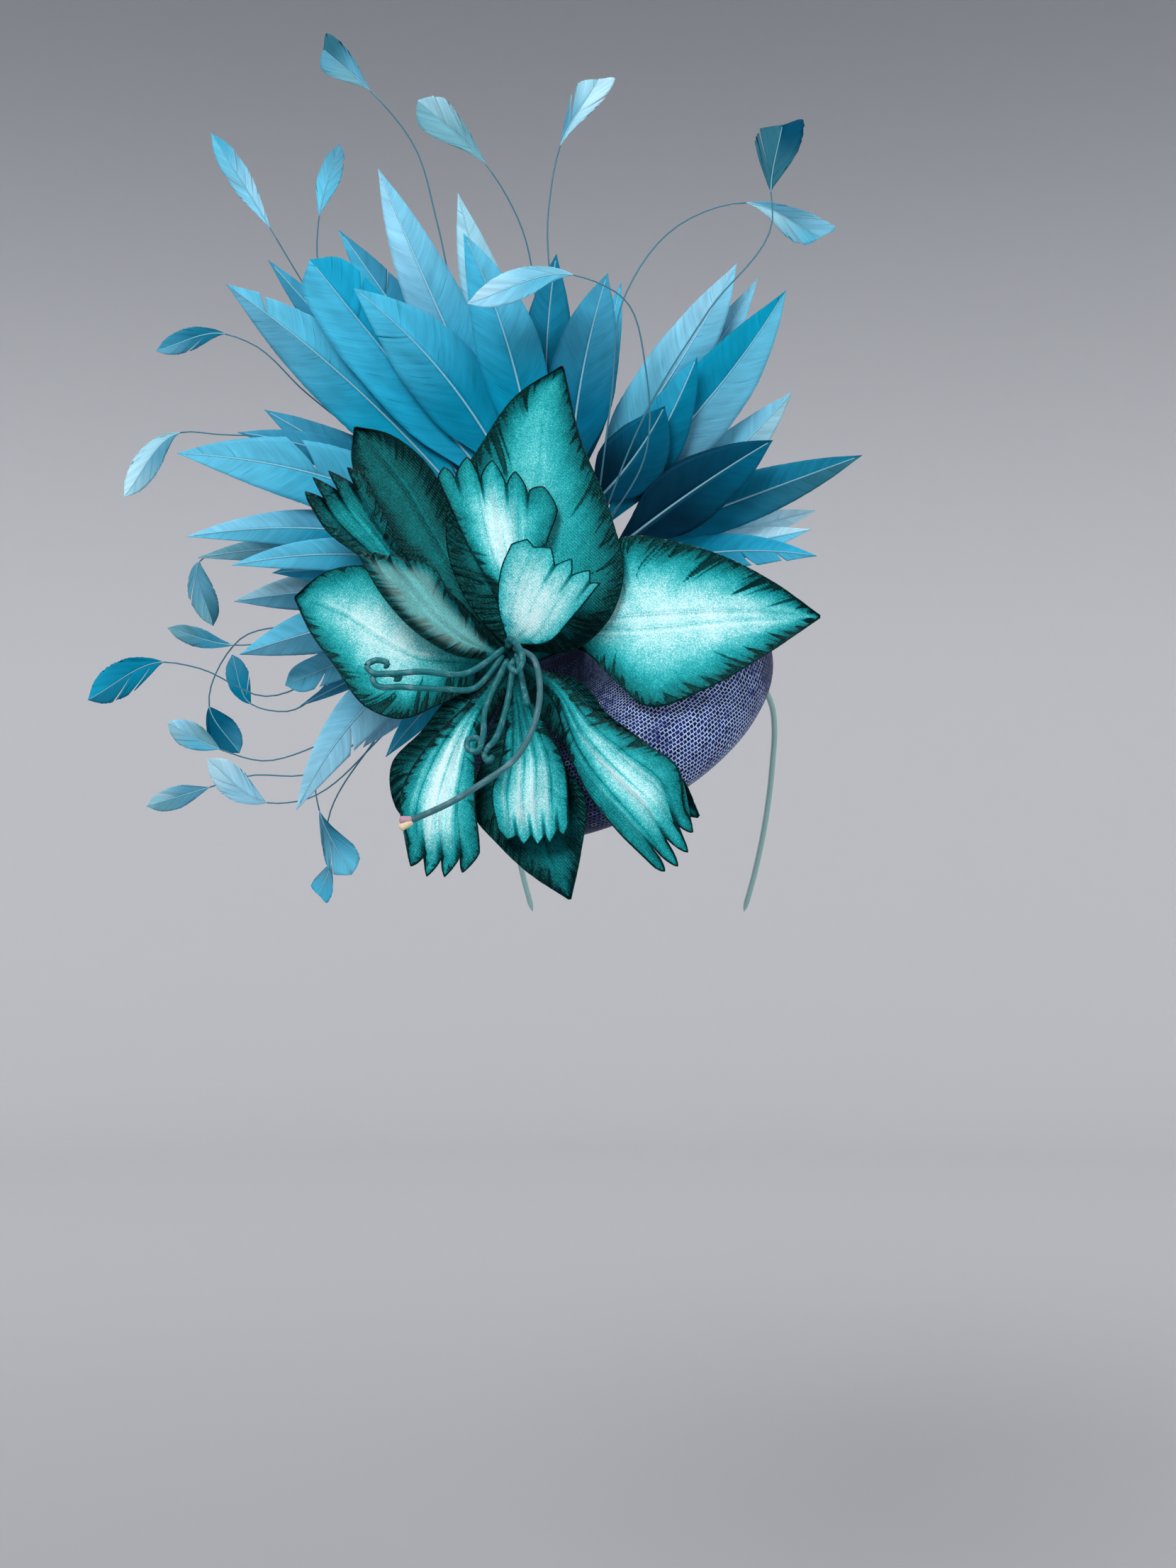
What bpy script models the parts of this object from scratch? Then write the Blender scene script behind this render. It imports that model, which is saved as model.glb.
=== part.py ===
"""A fascinator: a silk flower and a fan of feathers on a puffed straw cap, with a narrow headband.

Metres, +Z up. The wearer faces -Y. The origin is the middle of the wearer's head, level with
the front edge of the cap. The tables are in millimetres. Their x and z are the outline as it
shows from a distance in front, on one upright plane, and a depth puts each point in space.
"""

from math import cos, hypot, pi, radians, sin

import bmesh
import bpy
import numpy as np
from mathutils import Vector

MM = 0.001

# The line of sight that the tables' outlines are measured along
EYE_DISTANCE = 1550.0
EYE_X = -20.4
EYE_Z = -14.2
SEEN_DEPTH = -50.0

# The cap: an egg-shaped puffed crown on a tilted axis
CAP_MIDDLE = (4.6, -7.8, 12.7)
CAP_AXIS = (-0.471, -0.452, 0.757)
CAP_HALF_RIGHT = 89.0
CAP_HALF_LEFT = 97.0
CAP_HALF_DEPTH = 94.0
CAP_WALL = 1.6
CAP_STEPS = 32
# the crown is sewn to the side at this height above the rim
CAP_SEAM = 34.0
CAP_BLOCK = 240.0
# height above the rim, and the share of the full half width there
CAP_PROFILE = (
    (0.0, 0.90),
    (5.0, 0.96),
    (13.0, 0.996),
    (23.0, 1.0),
    (34.0, 0.975),
    (46.0, 0.86),
    (54.0, 0.55),
    (57.0, 0.0),
)
GAP = 0.3

# The headband: an arch of flat covered band
BAND_MIDDLE = (8.0, 18.0)
BAND_HALF_WIDTH = 76.0
BAND_HALF_HEIGHT = 54.0
BAND_ARM = 105.0
BAND_ARM_PINCH = 15.0
BAND_TOP_DEPTH = 4.0
BAND_LEAN = 0.34
BAND_THICKNESS = 3.0
BAND_WIDTH = 9.0
BAND_ARCH_POINTS = 21
BAND_ARM_POINTS = 5
BAND_POINTS = 30

# The disc that carries the feathers
HUB = (-51.0, 106.0)
HUB_RADIUS = 45.0
HUB_DEPTH = 4.0
HUB_THICKNESS = 16.0
HUB_SIDES = 40

# The flower: its middle, how its plane leans, and its stalk
FLOWER = (-59.0, 50.0)
FLOWER_DEPTH = -80.0
FLOWER_SWING = -0.20
FLOWER_TIP_BACK = 0.30
POST_RADIUS = 5.5
POST_FRONT = 16.5
POST_BACK = 56.0
POST_SIDES = 16
ROOT_RADIUS = 6.0
ROOT_HALF_WIDTH = 2.2

PETAL_THICKNESS = 1.2
FEATHER_THICKNESS = 1.0

NAVY = (0.022, 0.030, 0.125)
AQUA_SATIN = (0.30, 0.52, 0.50)
TEAL = (0.03, 0.42, 0.38)
DARK_TEAL = (0.01, 0.16, 0.15)
CORD_TEAL = (0.02, 0.22, 0.21)
FEATHER_BLUE = (0.05, 0.33, 0.52)
SPRAY_BLUE = (0.18, 0.42, 0.50)


def seen(points):
    """Puts each (x, depth, z) on its line of sight, so that it shows at x, z on the seen plane."""
    points = np.asarray(points, float)
    far = (EYE_DISTANCE + points[..., 1]) / (EYE_DISTANCE + SEEN_DEPTH)
    x = EYE_X + (points[..., 0] - EYE_X) * far
    z = EYE_Z + (points[..., 2] - EYE_Z) * far
    return np.stack([x, points[..., 1], z], axis=-1)


def unseen(points):
    """The other way round: where a point in space shows on the seen plane, with its depth."""
    points = np.asarray(points, float)
    far = (EYE_DISTANCE + points[..., 1]) / (EYE_DISTANCE + SEEN_DEPTH)
    x = EYE_X + (points[..., 0] - EYE_X) / far
    z = EYE_Z + (points[..., 2] - EYE_Z) / far
    return np.stack([x, points[..., 1], z], axis=-1)


def curve_through(points, count):
    """Evenly spaced points on a smooth curve through the given ones."""
    points = np.asarray(points, float)
    along = np.concatenate([[0.0], np.cumsum(np.linalg.norm(np.diff(points, axis=0), axis=1))])
    slopes = np.gradient(points, along, axis=0)
    at = np.linspace(0.0, along[-1], count)
    i = np.clip(np.searchsorted(along, at, side="right") - 1, 0, len(points) - 2)
    span = (along[i + 1] - along[i])[:, None]
    s = (at - along[i])[:, None] / span
    start = (1 + 2 * s) * (1 - s) ** 2 * points[i] + s * (1 - s) ** 2 * span * slopes[i]
    end = s * s * (3 - 2 * s) * points[i + 1] + s * s * (s - 1) * span * slopes[i + 1]
    return start + end


def material(name, colour, roughness):
    made = bpy.data.materials.get(name)
    if made is None:
        made = bpy.data.materials.new(name)
        made.use_nodes = True
        shader = made.node_tree.nodes["Principled BSDF"]
        shader.inputs["Base Color"].default_value = (*colour, 1.0)
        shader.inputs["Roughness"].default_value = roughness
    return made


def new_object(name, mesh, finish, collection):
    item = bpy.data.objects.new(name, mesh)
    collection.objects.link(item)
    if finish is not None:
        item.data.materials.append(finish)
    return item


def sheet_mesh(name, grid):
    """A grid of quads whose vertices are moved to the given points, in millimetres."""
    rows, columns = grid.shape[0] - 1, grid.shape[1] - 1
    bm = bmesh.new()
    bmesh.ops.create_grid(bm, x_segments=rows, y_segments=columns, size=1.0)
    for vertex in bm.verts:
        i = round((vertex.co.x + 1) / 2 * rows)
        j = round((vertex.co.y + 1) / 2 * columns)
        vertex.co = Vector(grid[i, j] * MM)
    mesh = bpy.data.meshes.new(name)
    bm.to_mesh(mesh)
    bm.free()
    return mesh


def add_sheet(name, grid, thickness, finish, collection):
    item = new_object(name, sheet_mesh(name, seen(grid)), finish, collection)
    item.data.shade_smooth()
    solidify = item.modifiers.new("wall", "SOLIDIFY")
    solidify.thickness = thickness * MM
    solidify.offset = 0.0
    return item


def add_boolean(item, other, operation):
    boolean = item.modifiers.new(operation.lower(), "BOOLEAN")
    boolean.operation = operation
    boolean.object = other


def hide_cutter(item):
    item.hide_render = True
    item.display_type = "WIRE"


def cap_directions():
    """The cap's axis, its direction to the wearer's left and its direction to the back."""
    axis = Vector(CAP_AXIS).normalized()
    back = (Vector((0, 1, 0)) - axis * axis.y).normalized()
    return axis, back.cross(axis), back


def cap_mesh(name, grow, closed):
    """Turns the cap's profile, stretches the turn to the egg-shaped plan and tilts it."""
    axis, side, back = cap_directions()
    bm = bmesh.new()
    profile = [bm.verts.new((share, 0.0, height)) for height, share in CAP_PROFILE]
    edges = [bm.edges.new(pair) for pair in zip(profile, profile[1:])]
    turned = {"geom": profile + edges, "cent": (0, 0, 0), "axis": (0, 0, 1), "dvec": (0, 0, 0)}
    bmesh.ops.spin(bm, angle=2 * pi, steps=CAP_STEPS, use_merge=True, use_duplicate=False, **turned)
    bmesh.ops.remove_doubles(bm, verts=bm.verts, dist=1e-4)
    if closed:
        bmesh.ops.holes_fill(bm, edges=[edge for edge in bm.edges if edge.is_boundary], sides=0)
    for vertex in bm.verts:
        half_side = CAP_HALF_RIGHT if vertex.co.x > 0 else CAP_HALF_LEFT
        place = Vector(CAP_MIDDLE) + axis * vertex.co.z
        place += side * vertex.co.x * (half_side + grow)
        place += back * vertex.co.y * (CAP_HALF_DEPTH + grow)
        place += axis * grow * vertex.co.z / CAP_PROFILE[-1][0]
        vertex.co = place * MM
    bmesh.ops.recalc_face_normals(bm, faces=bm.faces)
    mesh = bpy.data.meshes.new(name)
    bm.to_mesh(mesh)
    bm.free()
    return mesh


def make_cap(parts, pieces):
    """One folded wall, in two: the side with its rim, and the crown above the seam."""
    axis = cap_directions()[0]
    for name, way in (("sinamay_base", -1), ("sinamay_crown", 1)):
        mesh = cap_mesh(name, 0.0, False)
        cap = new_object(name, mesh, material("straw", NAVY, 0.55), parts)
        mesh.shade_smooth()
        wall = cap.modifiers.new("wall", "SOLIDIFY")
        wall.thickness = CAP_WALL * MM
        wall.offset = -1.0
        bm = bmesh.new()
        bmesh.ops.create_cube(bm, size=CAP_BLOCK * MM)
        mesh = bpy.data.meshes.new(name + "_block")
        bm.to_mesh(mesh)
        bm.free()
        block = new_object(name + "_block", mesh, None, pieces)
        height = CAP_SEAM + way * (GAP + CAP_BLOCK) / 2
        block.location = (Vector(CAP_MIDDLE) + axis * height) * MM
        block.rotation_mode = "QUATERNION"
        block.rotation_quaternion = axis.to_track_quat("Z", "Y")
        hide_cutter(block)
        add_boolean(cap, block, "INTERSECT")


def make_headband(parts):
    """A flat band swept along an arch: half an ellipse over the head, then two long arms."""
    half_turn = np.linspace(0.0, pi, BAND_ARCH_POINTS)
    arch_x = BAND_HALF_WIDTH * np.cos(half_turn)
    arch_z = BAND_MIDDLE[1] + BAND_HALF_HEIGHT * np.sin(half_turn)
    down = np.arange(1, BAND_ARM_POINTS + 1) / BAND_ARM_POINTS
    arm_x = BAND_HALF_WIDTH - BAND_ARM_PINCH * down**2
    arm_z = BAND_MIDDLE[1] - BAND_ARM * down
    x = BAND_MIDDLE[0] + np.concatenate([arm_x[::-1], arch_x, -arm_x])
    z = np.concatenate([arm_z[::-1], arch_z, arm_z])
    path = curve_through(np.stack([x, z], axis=1), BAND_POINTS)
    run = np.gradient(path, axis=0)
    run /= np.linalg.norm(run, axis=1)[:, None]
    inwards = np.stack([-run[:, 1], run[:, 0]], axis=1)
    corners = ((0, -0.5), (0, 0.5), (1, 0.5), (1, -0.5))
    ring = []
    for inset, across in corners:
        spot = path + inwards * BAND_THICKNESS * inset
        depth = BAND_TOP_DEPTH + BAND_LEAN * (BAND_MIDDLE[1] + BAND_HALF_HEIGHT - path[:, 1])
        ring.append(np.stack([spot[:, 0], depth + BAND_WIDTH * across, spot[:, 1]], axis=1))
    rings = np.stack(ring, axis=1) * MM
    bm = bmesh.new()
    loops = [[bm.verts.new(corner) for corner in section] for section in rings]
    for first, second in zip(loops, loops[1:]):
        for i in range(4):
            bm.faces.new((first[i], first[(i + 1) % 4], second[(i + 1) % 4], second[i]))
    bm.faces.new(loops[0][::-1])
    bm.faces.new(loops[-1])
    bmesh.ops.recalc_face_normals(bm, faces=bm.faces)
    mesh = bpy.data.meshes.new("headband")
    bm.to_mesh(mesh)
    bm.free()
    new_object("headband", mesh, material("satin", AQUA_SATIN, 0.35), parts)


def add_cylinder(name, start, end, radius, sides, finish, collection):
    """A cylinder between two points, in millimetres."""
    start, end = Vector(start) * MM, Vector(end) * MM
    bm = bmesh.new()
    bmesh.ops.create_cone(
        bm,
        segments=sides,
        cap_ends=True,
        radius1=radius * MM,
        radius2=radius * MM,
        depth=(end - start).length,
    )
    mesh = bpy.data.meshes.new(name)
    bm.to_mesh(mesh)
    bm.free()
    item = new_object(name, mesh, finish, collection)
    item.location = (start + end) / 2
    item.rotation_mode = "QUATERNION"
    item.rotation_quaternion = (end - start).to_track_quat("Z", "Y")
    return item


def make_mount(parts, cutter):
    """The feathers' disc, its foot cut to sit on the cap."""
    front = (HUB[0], HUB_DEPTH - HUB_THICKNESS / 2, HUB[1])
    back = (HUB[0], HUB_DEPTH + HUB_THICKNESS / 2, HUB[1])
    finish = material("mount", NAVY, 0.8)
    disc = add_cylinder("feather_mount", front, back, HUB_RADIUS, HUB_SIDES, finish, parts)
    add_boolean(disc, cutter, "DIFFERENCE")


def flower_plane(x, z):
    return FLOWER_DEPTH + FLOWER_SWING * (x - FLOWER[0]) + FLOWER_TIP_BACK * (z - FLOWER[1])


def flower_middle(layer):
    """Where the leaning stalk's axis passes a petal layer."""
    lean = 1.0 + FLOWER_SWING**2 + FLOWER_TIP_BACK**2
    back = layer / lean
    return FLOWER[0] - FLOWER_SWING * back, FLOWER_DEPTH + back, FLOWER[1] - FLOWER_TIP_BACK * back


def make_post(parts, cutter):
    start = seen(flower_middle(-POST_FRONT))
    end = seen(flower_middle(POST_BACK))
    finish = material("post", DARK_TEAL, 0.8)
    post = add_cylinder("flower_post", start, end, POST_RADIUS, POST_SIDES, finish, parts)
    add_boolean(post, cutter, "DIFFERENCE")


# Each petal: name, direction of its root, layer (towards the wearer), how far its middle and its
# tip stand off its layer, how far its edges do, then the points of its left and right edges.
# A toothed end runs from the left edge's last point to the right edge's. Its bulge is the last number.
SEPALS = (
    ("top", 85, 0, -6, -6, -5,
     ((-84, 82), (-95, 112), (-92, 140), (-78, 163), (-58, 191), (-34.6, 206)),
     ((-26, 57), (-9, 73), (-2, 92), (-9, 130), (-24, 167), (-33.4, 206))),
    ("right", 20, 5, -12, 20, -3,
     ((-22, 98), (-4, 115), (32, 112), (78, 92), (102, 74.6)),
     ((-24, 56), (-8, 42), (10, 27), (42, 36), (72, 53), (102, 73.4))),
    ("left", 185, 5, 0, 10, -4,
     ((-98, 28), (-120, 20), (-137, 26), (-154, 48), (-167, 66), (-175, 83.4)),
     ((-100, 80), (-120, 96), (-139, 101), (-160, 97), (-175, 84.6))),
    ("upper_left", 132, 9, 0, 4, -4,
     ((-105, 90), (-130, 125), (-145, 156), (-143.6, 174)),
     ((-80, 105), (-94, 136), (-103, 152), (-127, 171), (-142.4, 174))),
    ("bottom", 270, 5, 0, 8, -3,
     ((-36, 0), (-22, -21), (-24, -50), (-29.4, -75)),
     ((-76, 0), (-81, -30), (-68, -46), (-52, -61), (-30.6, -75))),
    ("lower_left", 232, 9, 0, 4, -3,
     ((-80, 5), (-95, -25), (-111.4, -38)),
     ((-95, 30), (-108, 14), (-124, -4), (-122, -26), (-112.6, -38))),
    ("lower_right", 312, 1, -2, -2, -3,
     ((-22, 38), (-12, 25), (12, 6), (30, -12), (38.4, -31)),
     ((-44, 20), (-14, -10), (14, -28), (37.6, -32))),
)
PETALS = (
    ("top", 98, -6, -4, -8, -4,
     ((-68, 80), (-84, 112), (-100, 150)),
     ((-46, 85), (-42, 115), (-37, 139)), 7),
    ("front", 80, -14, -8, -22, -6,
     ((-68, 80), (-66, 100), (-60, 114)),
     ((-42, 60), (-28, 74), (-14, 91)), 3),
    ("upper_left", 150, -1, 0, 0, -3,
     ((-112, 80), (-140, 105), (-158, 119), (-167, 133)),
     ((-90, 84), (-112, 101), (-128, 128), (-138, 149)), 5),
    ("left", 165, -9, -8, -14, -5,
     ((-88, 53), (-110, 65), (-128, 84), (-140, 105)),
     ((-80, 72), (-93, 86), (-102, 101)), 4),
    ("lower_left", 238, -7, -4, -6, 3,
     ((-76, 19), (-80, -21), (-80, -58)),
     ((-84, 28), (-102, 10), (-120, -25), (-116, -48)), 6),
    ("bottom", 272, -4, -3, -4, 3,
     ((-42, 15), (-34, 0), (-30, -38)),
     ((-66, 0), (-71, -20), (-68, -40)), 5),
    ("lower_right", 325, -6, -6, -6, 3,
     ((-36, 42), (-18, 25), (12, 6), (26, -4), (32, -30)),
     ((-40, 31), (-30, 0), (-22, -17), (-6, -38), (14, -58)), 5),
)
SEPAL_ROWS = 7
SEPAL_COLUMNS = 4
PETAL_ROWS = 8
PETAL_COLUMNS = 8
TOOTH_DEPTH = 3.5


def petal_grid(row, rows, columns, tooth):
    angle, layer, middle_off, tip_off, edge_off, left, right = row[1:8]
    bulge = row[8] if len(row) > 8 else 0.0
    x0, _, z0 = flower_middle(layer)
    way = radians(angle)
    reach = ROOT_RADIUS / hypot(1.0, FLOWER_SWING * cos(way) + FLOWER_TIP_BACK * sin(way))
    root = np.array((x0 + reach * cos(way), z0 + reach * sin(way)))
    aside = ROOT_HALF_WIDTH * np.array((-sin(way), cos(way)))
    on_left = hypot(*(root + aside - left[0])) < hypot(*(root - aside - left[0]))
    if not on_left:
        aside = -aside
    left = curve_through([root + aside, *left], rows + 1)
    right = curve_through([root - aside, *right], rows + 1)
    across = np.linspace(0.0, 1.0, columns + 1)
    along = np.linspace(0.0, 1.0, rows + 1)
    flat = left[:, None] * (1 - across)[None, :, None] + right[:, None] * across[None, :, None]
    outward = (left[-1] + right[-1]) / 2 - root
    outward /= np.linalg.norm(outward)
    crown = bulge * 4 * across * (1 - across) - tooth * (np.arange(columns + 1) % 2)
    flat[-1] += crown[:, None] * outward
    u, v = along[:, None], across[None, :]
    depth = flower_plane(flat[..., 0], flat[..., 1]) + layer
    depth += middle_off * 4 * u * (1 - u) + tip_off * u**2
    depth += edge_off * (2 * v - 1) ** 2 * np.sqrt(u * (2 - u))
    return np.stack([flat[..., 0], depth, flat[..., 1]], axis=-1)


def make_flower(parts):
    sepal_finish = material("sepal_silk", TEAL, 0.45)
    petal_finish = material("petal_silk", TEAL, 0.4)
    for row in SEPALS:
        grid = petal_grid(row, SEPAL_ROWS, SEPAL_COLUMNS, 0.0)
        add_sheet("sepal_" + row[0], grid, PETAL_THICKNESS, sepal_finish, parts)
    for row in PETALS:
        grid = petal_grid(row, PETAL_ROWS, PETAL_COLUMNS, TOOTH_DEPTH)
        add_sheet("petal_" + row[0], grid, PETAL_THICKNESS, petal_finish, parts)


# Each cord: name, where its root sits on the stalk's end (degrees), and the points of its
# route: x, z and how far it stands in front of the stalk's end.
CORDS = (
    ("stamen_1", 150, (
        (-85, 44, 12), (-110, 45, 19), (-124, 44, 20), (-131, 46, 21), (-128, 50, 20), (-123, 48, 18))),
    ("stamen_2", 201, ((-81, 36, 7), (-98, 36, 14), (-118, 37, 18), (-134, 40, 20), (-130, 43, 17))),
    ("stamen_3", 252, ((-75, 23, 10), (-76, 10, 16), (-80, 2, 18), (-84, 4, 18), (-82, 8, 17))),
    ("stamen_4", 303, ((-64, 24, 9), (-69, 10, 13), (-75, 1, 15), (-71, -1, 16))),
    ("stamen_5", 354, ((-55, 40, 10), (-52, 27, 16))),
    ("stamen_6", 98, ((-62, 62, 9), (-57, 58, 16), (-58, 50, 20))),
    ("pistil", 45, (
        (-50, 53, 8), (-46, 40, 14), (-48, 20, 20), (-60, -2, 27),
        (-75, -13, 28), (-93, -24, 27), (-115, -34, 24))),
)
CORD_RADIUS = 1.6
CORD_RING = 4.2
# each cord starts just off the stalk's end and stands straight out of it at first
CORD_START = 1.6
CORD_STRAIGHT = 3.6
CORD_POINTS_EACH = 2
CORD_POINTS_MORE = 5


def make_cords(parts):
    finish = material("cord", CORD_TEAL, 0.6)
    x0, y0, z0 = flower_middle(-POST_FRONT)
    for name, angle, route in CORDS:
        way = radians(angle)
        root = (x0 + CORD_RING * cos(way), z0 + CORD_RING * sin(way))
        points = np.array([(*root, CORD_START), (*root, CORD_STRAIGHT), *route])
        x, z, off = points.T
        depth = y0 + FLOWER_SWING * (x - x0) + FLOWER_TIP_BACK * (z - z0) - off
        places = np.stack([x, depth, z], axis=1)
        count = CORD_POINTS_EACH * len(route) + CORD_POINTS_MORE
        curve = bpy.data.curves.new(name, "CURVE")
        curve.dimensions = "3D"
        curve.bevel_depth = CORD_RADIUS * MM
        curve.bevel_resolution = 1
        curve.use_fill_caps = True
        spline = curve.splines.new("POLY")
        smooth = seen(curve_through(places, count)) * MM
        spline.points.add(len(smooth) - 1)
        for point, place in zip(spline.points, smooth):
            point.co = (*place, 1.0)
        item = bpy.data.objects.new(name, curve)
        parts.objects.link(item)
        curve.materials.append(finish)


# Each feather: tip x, tip z, root angle round the disc, bow to its left, half width, layer
FEATHERS = (
    (-131, 310, 98, 2, 16, 1),
    (-152, 278, 107, -2, 14, 2),
    (-167, 262, 116, 0, 19, 0),
    (-189, 262, 128, 0, 12, 2),
    (-211, 249, 138, -6, 19, 1),
    (-144, 247, 104, -8, 20, -1),
    (-89, 297, 90, 0, 14, 2),
    (-86, 276, 88, -6, 17, -2),
    (-37, 265, 77, 4, 15, 0),
    (-10, 255, 63, 4, 18, -1),
    (-3, 250, 60, 0, 9, 2),
    (58, 260, 51, -3, 16, 1),
    (69, 252, 44, -4, 12, 2),
    (84, 246, 41, -7, 18, 0),
    (87, 192, 6, -3, 14, 1),
    (37, 211, 28, -3, 14, -1),
    (20, 185, 44, -3, 17, -2),
    (77, 167, 9, 2, 17, -2),
    (124, 159, 12, 0, 13, 0),
    (-191, 183, 149, 0, 10, 2),
    (-237, 160, 157, -9, 17, -1),
    (-205, 171, 148, -8, 10, 0),
    (-174, -28, 229, -12, 13, -1),
)
TUFTS = (
    ("right", ((100, 130, 2, 0, 10, 2), (97, 120, -3, 0, 9, 1), (100, 106, -8, 7, 8, 0))),
    ("left_upper", (
        (-232, 116, 171, -8, 10, 0),
        (-208, 122, 168, -4, 9, 1),
        (-226, 105, 176, -6, 9, 2),
        (-208, 101, 182, -6, 9, -2),
        (-187, 97, 188, -3, 9, -1))),
    ("left_lower", (
        (-207, 82, 196, -3, 12, 0),
        (-204, 54, 208, -3, 14, -1),
        (-180, 38, 214, 0, 9, 1),
        (-172, 27, 220, 0, 6, 2))),
    ("bottom", ((-139, 5, 240, -3, 9, 1), (-127, 0, 248, -3, 8, 0))),
)
# share of the length from the root, and the share of the full half width there
FEATHER_OUTLINE = (
    (0.0, 0.07),
    (0.15, 0.42),
    (0.32, 0.88),
    (0.52, 1.0),
    (0.72, 0.86),
    (0.88, 0.50),
    (1.0, 0.04),
)
FEATHER_ROWS = 6
LAYER_STEP = 3.0
LAYER_SPREAD = 0.07
FAN_LEAN = 0.10
FEATHER_KEEL = 1.2
# the block of thread and glue that holds a tuft together
BINDING_LENGTH = 5.0
BINDING_EDGE = 1.5


def fan_depth(from_root, layer):
    """The depth of a feather layer at a distance from the disc's edge."""
    return HUB_DEPTH + layer * (LAYER_STEP + LAYER_SPREAD * from_root) + FAN_LEAN * from_root


def disc_edge(angle, depth, out):
    """Where a point just off the disc's edge shows on the seen plane."""
    way = radians(angle)
    reach = HUB_RADIUS + out
    return unseen((HUB[0] + reach * cos(way), depth, HUB[1] + reach * sin(way)))[::2]


def feather_grid(tip_x, tip_z, root_angle, bow, half_width, layer):
    """A lance-shaped strip, three points wide, its middle raised along the quill."""
    root = disc_edge(root_angle, fan_depth(0.0, layer), 2 * GAP)
    tip = np.array((tip_x, tip_z), float)
    stations, shares = zip(*FEATHER_OUTLINE)
    u = np.linspace(0.0, 1.0, FEATHER_ROWS + 1)
    run = (tip - root) / np.linalg.norm(tip - root)
    left = np.array((-run[1], run[0]))
    quill = root + u[:, None] * (tip - root) + (bow * 4 * u * (1 - u))[:, None] * left
    slope = np.gradient(quill, axis=0)
    slope /= np.linalg.norm(slope, axis=1)[:, None]
    normal = np.stack([-slope[:, 1], slope[:, 0]], axis=1)
    half = half_width * np.interp(u, stations, shares)
    side = np.array((-1.0, 0.0, 1.0))
    flat = quill[:, None] + (half[:, None] * side)[..., None] * normal[:, None]
    from_root = np.linalg.norm(quill - root, axis=1)
    depth = fan_depth(from_root, layer)[:, None]
    depth = depth + FEATHER_KEEL * np.abs(side) * (half / half_width)[:, None]
    return np.stack([flat[..., 0], depth, flat[..., 1]], axis=-1)


def make_feathers(parts, pieces):
    finish = material("feather", FEATHER_BLUE, 0.5)
    for number, row in enumerate(FEATHERS, 1):
        add_sheet(f"feather_{number:02d}", feather_grid(*row), FEATHER_THICKNESS, finish, parts)
    for name, rows in TUFTS:
        make_tuft(name, rows, finish, parts, pieces)


def make_tuft(name, rows, finish, parts, pieces):
    """Small feathers fused to one binding block that lies against the disc's edge."""
    angles = [row[2] for row in rows]
    layers = [row[5] for row in rows]
    middle = sum(angles) / len(angles)
    half_turn = radians(max(angles) - min(angles)) / 2
    front = HUB_DEPTH + LAYER_STEP * min(layers) - BINDING_EDGE
    back = HUB_DEPTH + LAYER_STEP * max(layers) + BINDING_EDGE
    half_spread = HUB_RADIUS * half_turn + BINDING_EDGE
    out = np.array((cos(radians(middle)), sin(radians(middle))))
    aside = np.array((-out[1], out[0]))
    into_block = BINDING_EDGE - HUB_RADIUS * (1 - cos(half_turn))
    near = disc_edge(middle, (front + back) / 2, GAP)
    grid = []
    for across in (-half_spread, half_spread):
        edge = (near + aside * across, near + aside * across + out * BINDING_LENGTH)
        grid.append([(x, (front + back) / 2, z) for x, z in edge])
    binding = add_sheet("feather_tuft_" + name, np.array(grid), back - front, finish, parts)
    for number, row in enumerate(rows, 1):
        piece = feather_grid(*row)
        piece[0, :, 0] += out[0] * into_block
        piece[0, :, 2] += out[1] * into_block
        blade = add_sheet(f"tuft_{name}_{number}", piece, FEATHER_THICKNESS, finish, pieces)
        hide_cutter(blade)
        add_boolean(binding, blade, "UNION")


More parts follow.
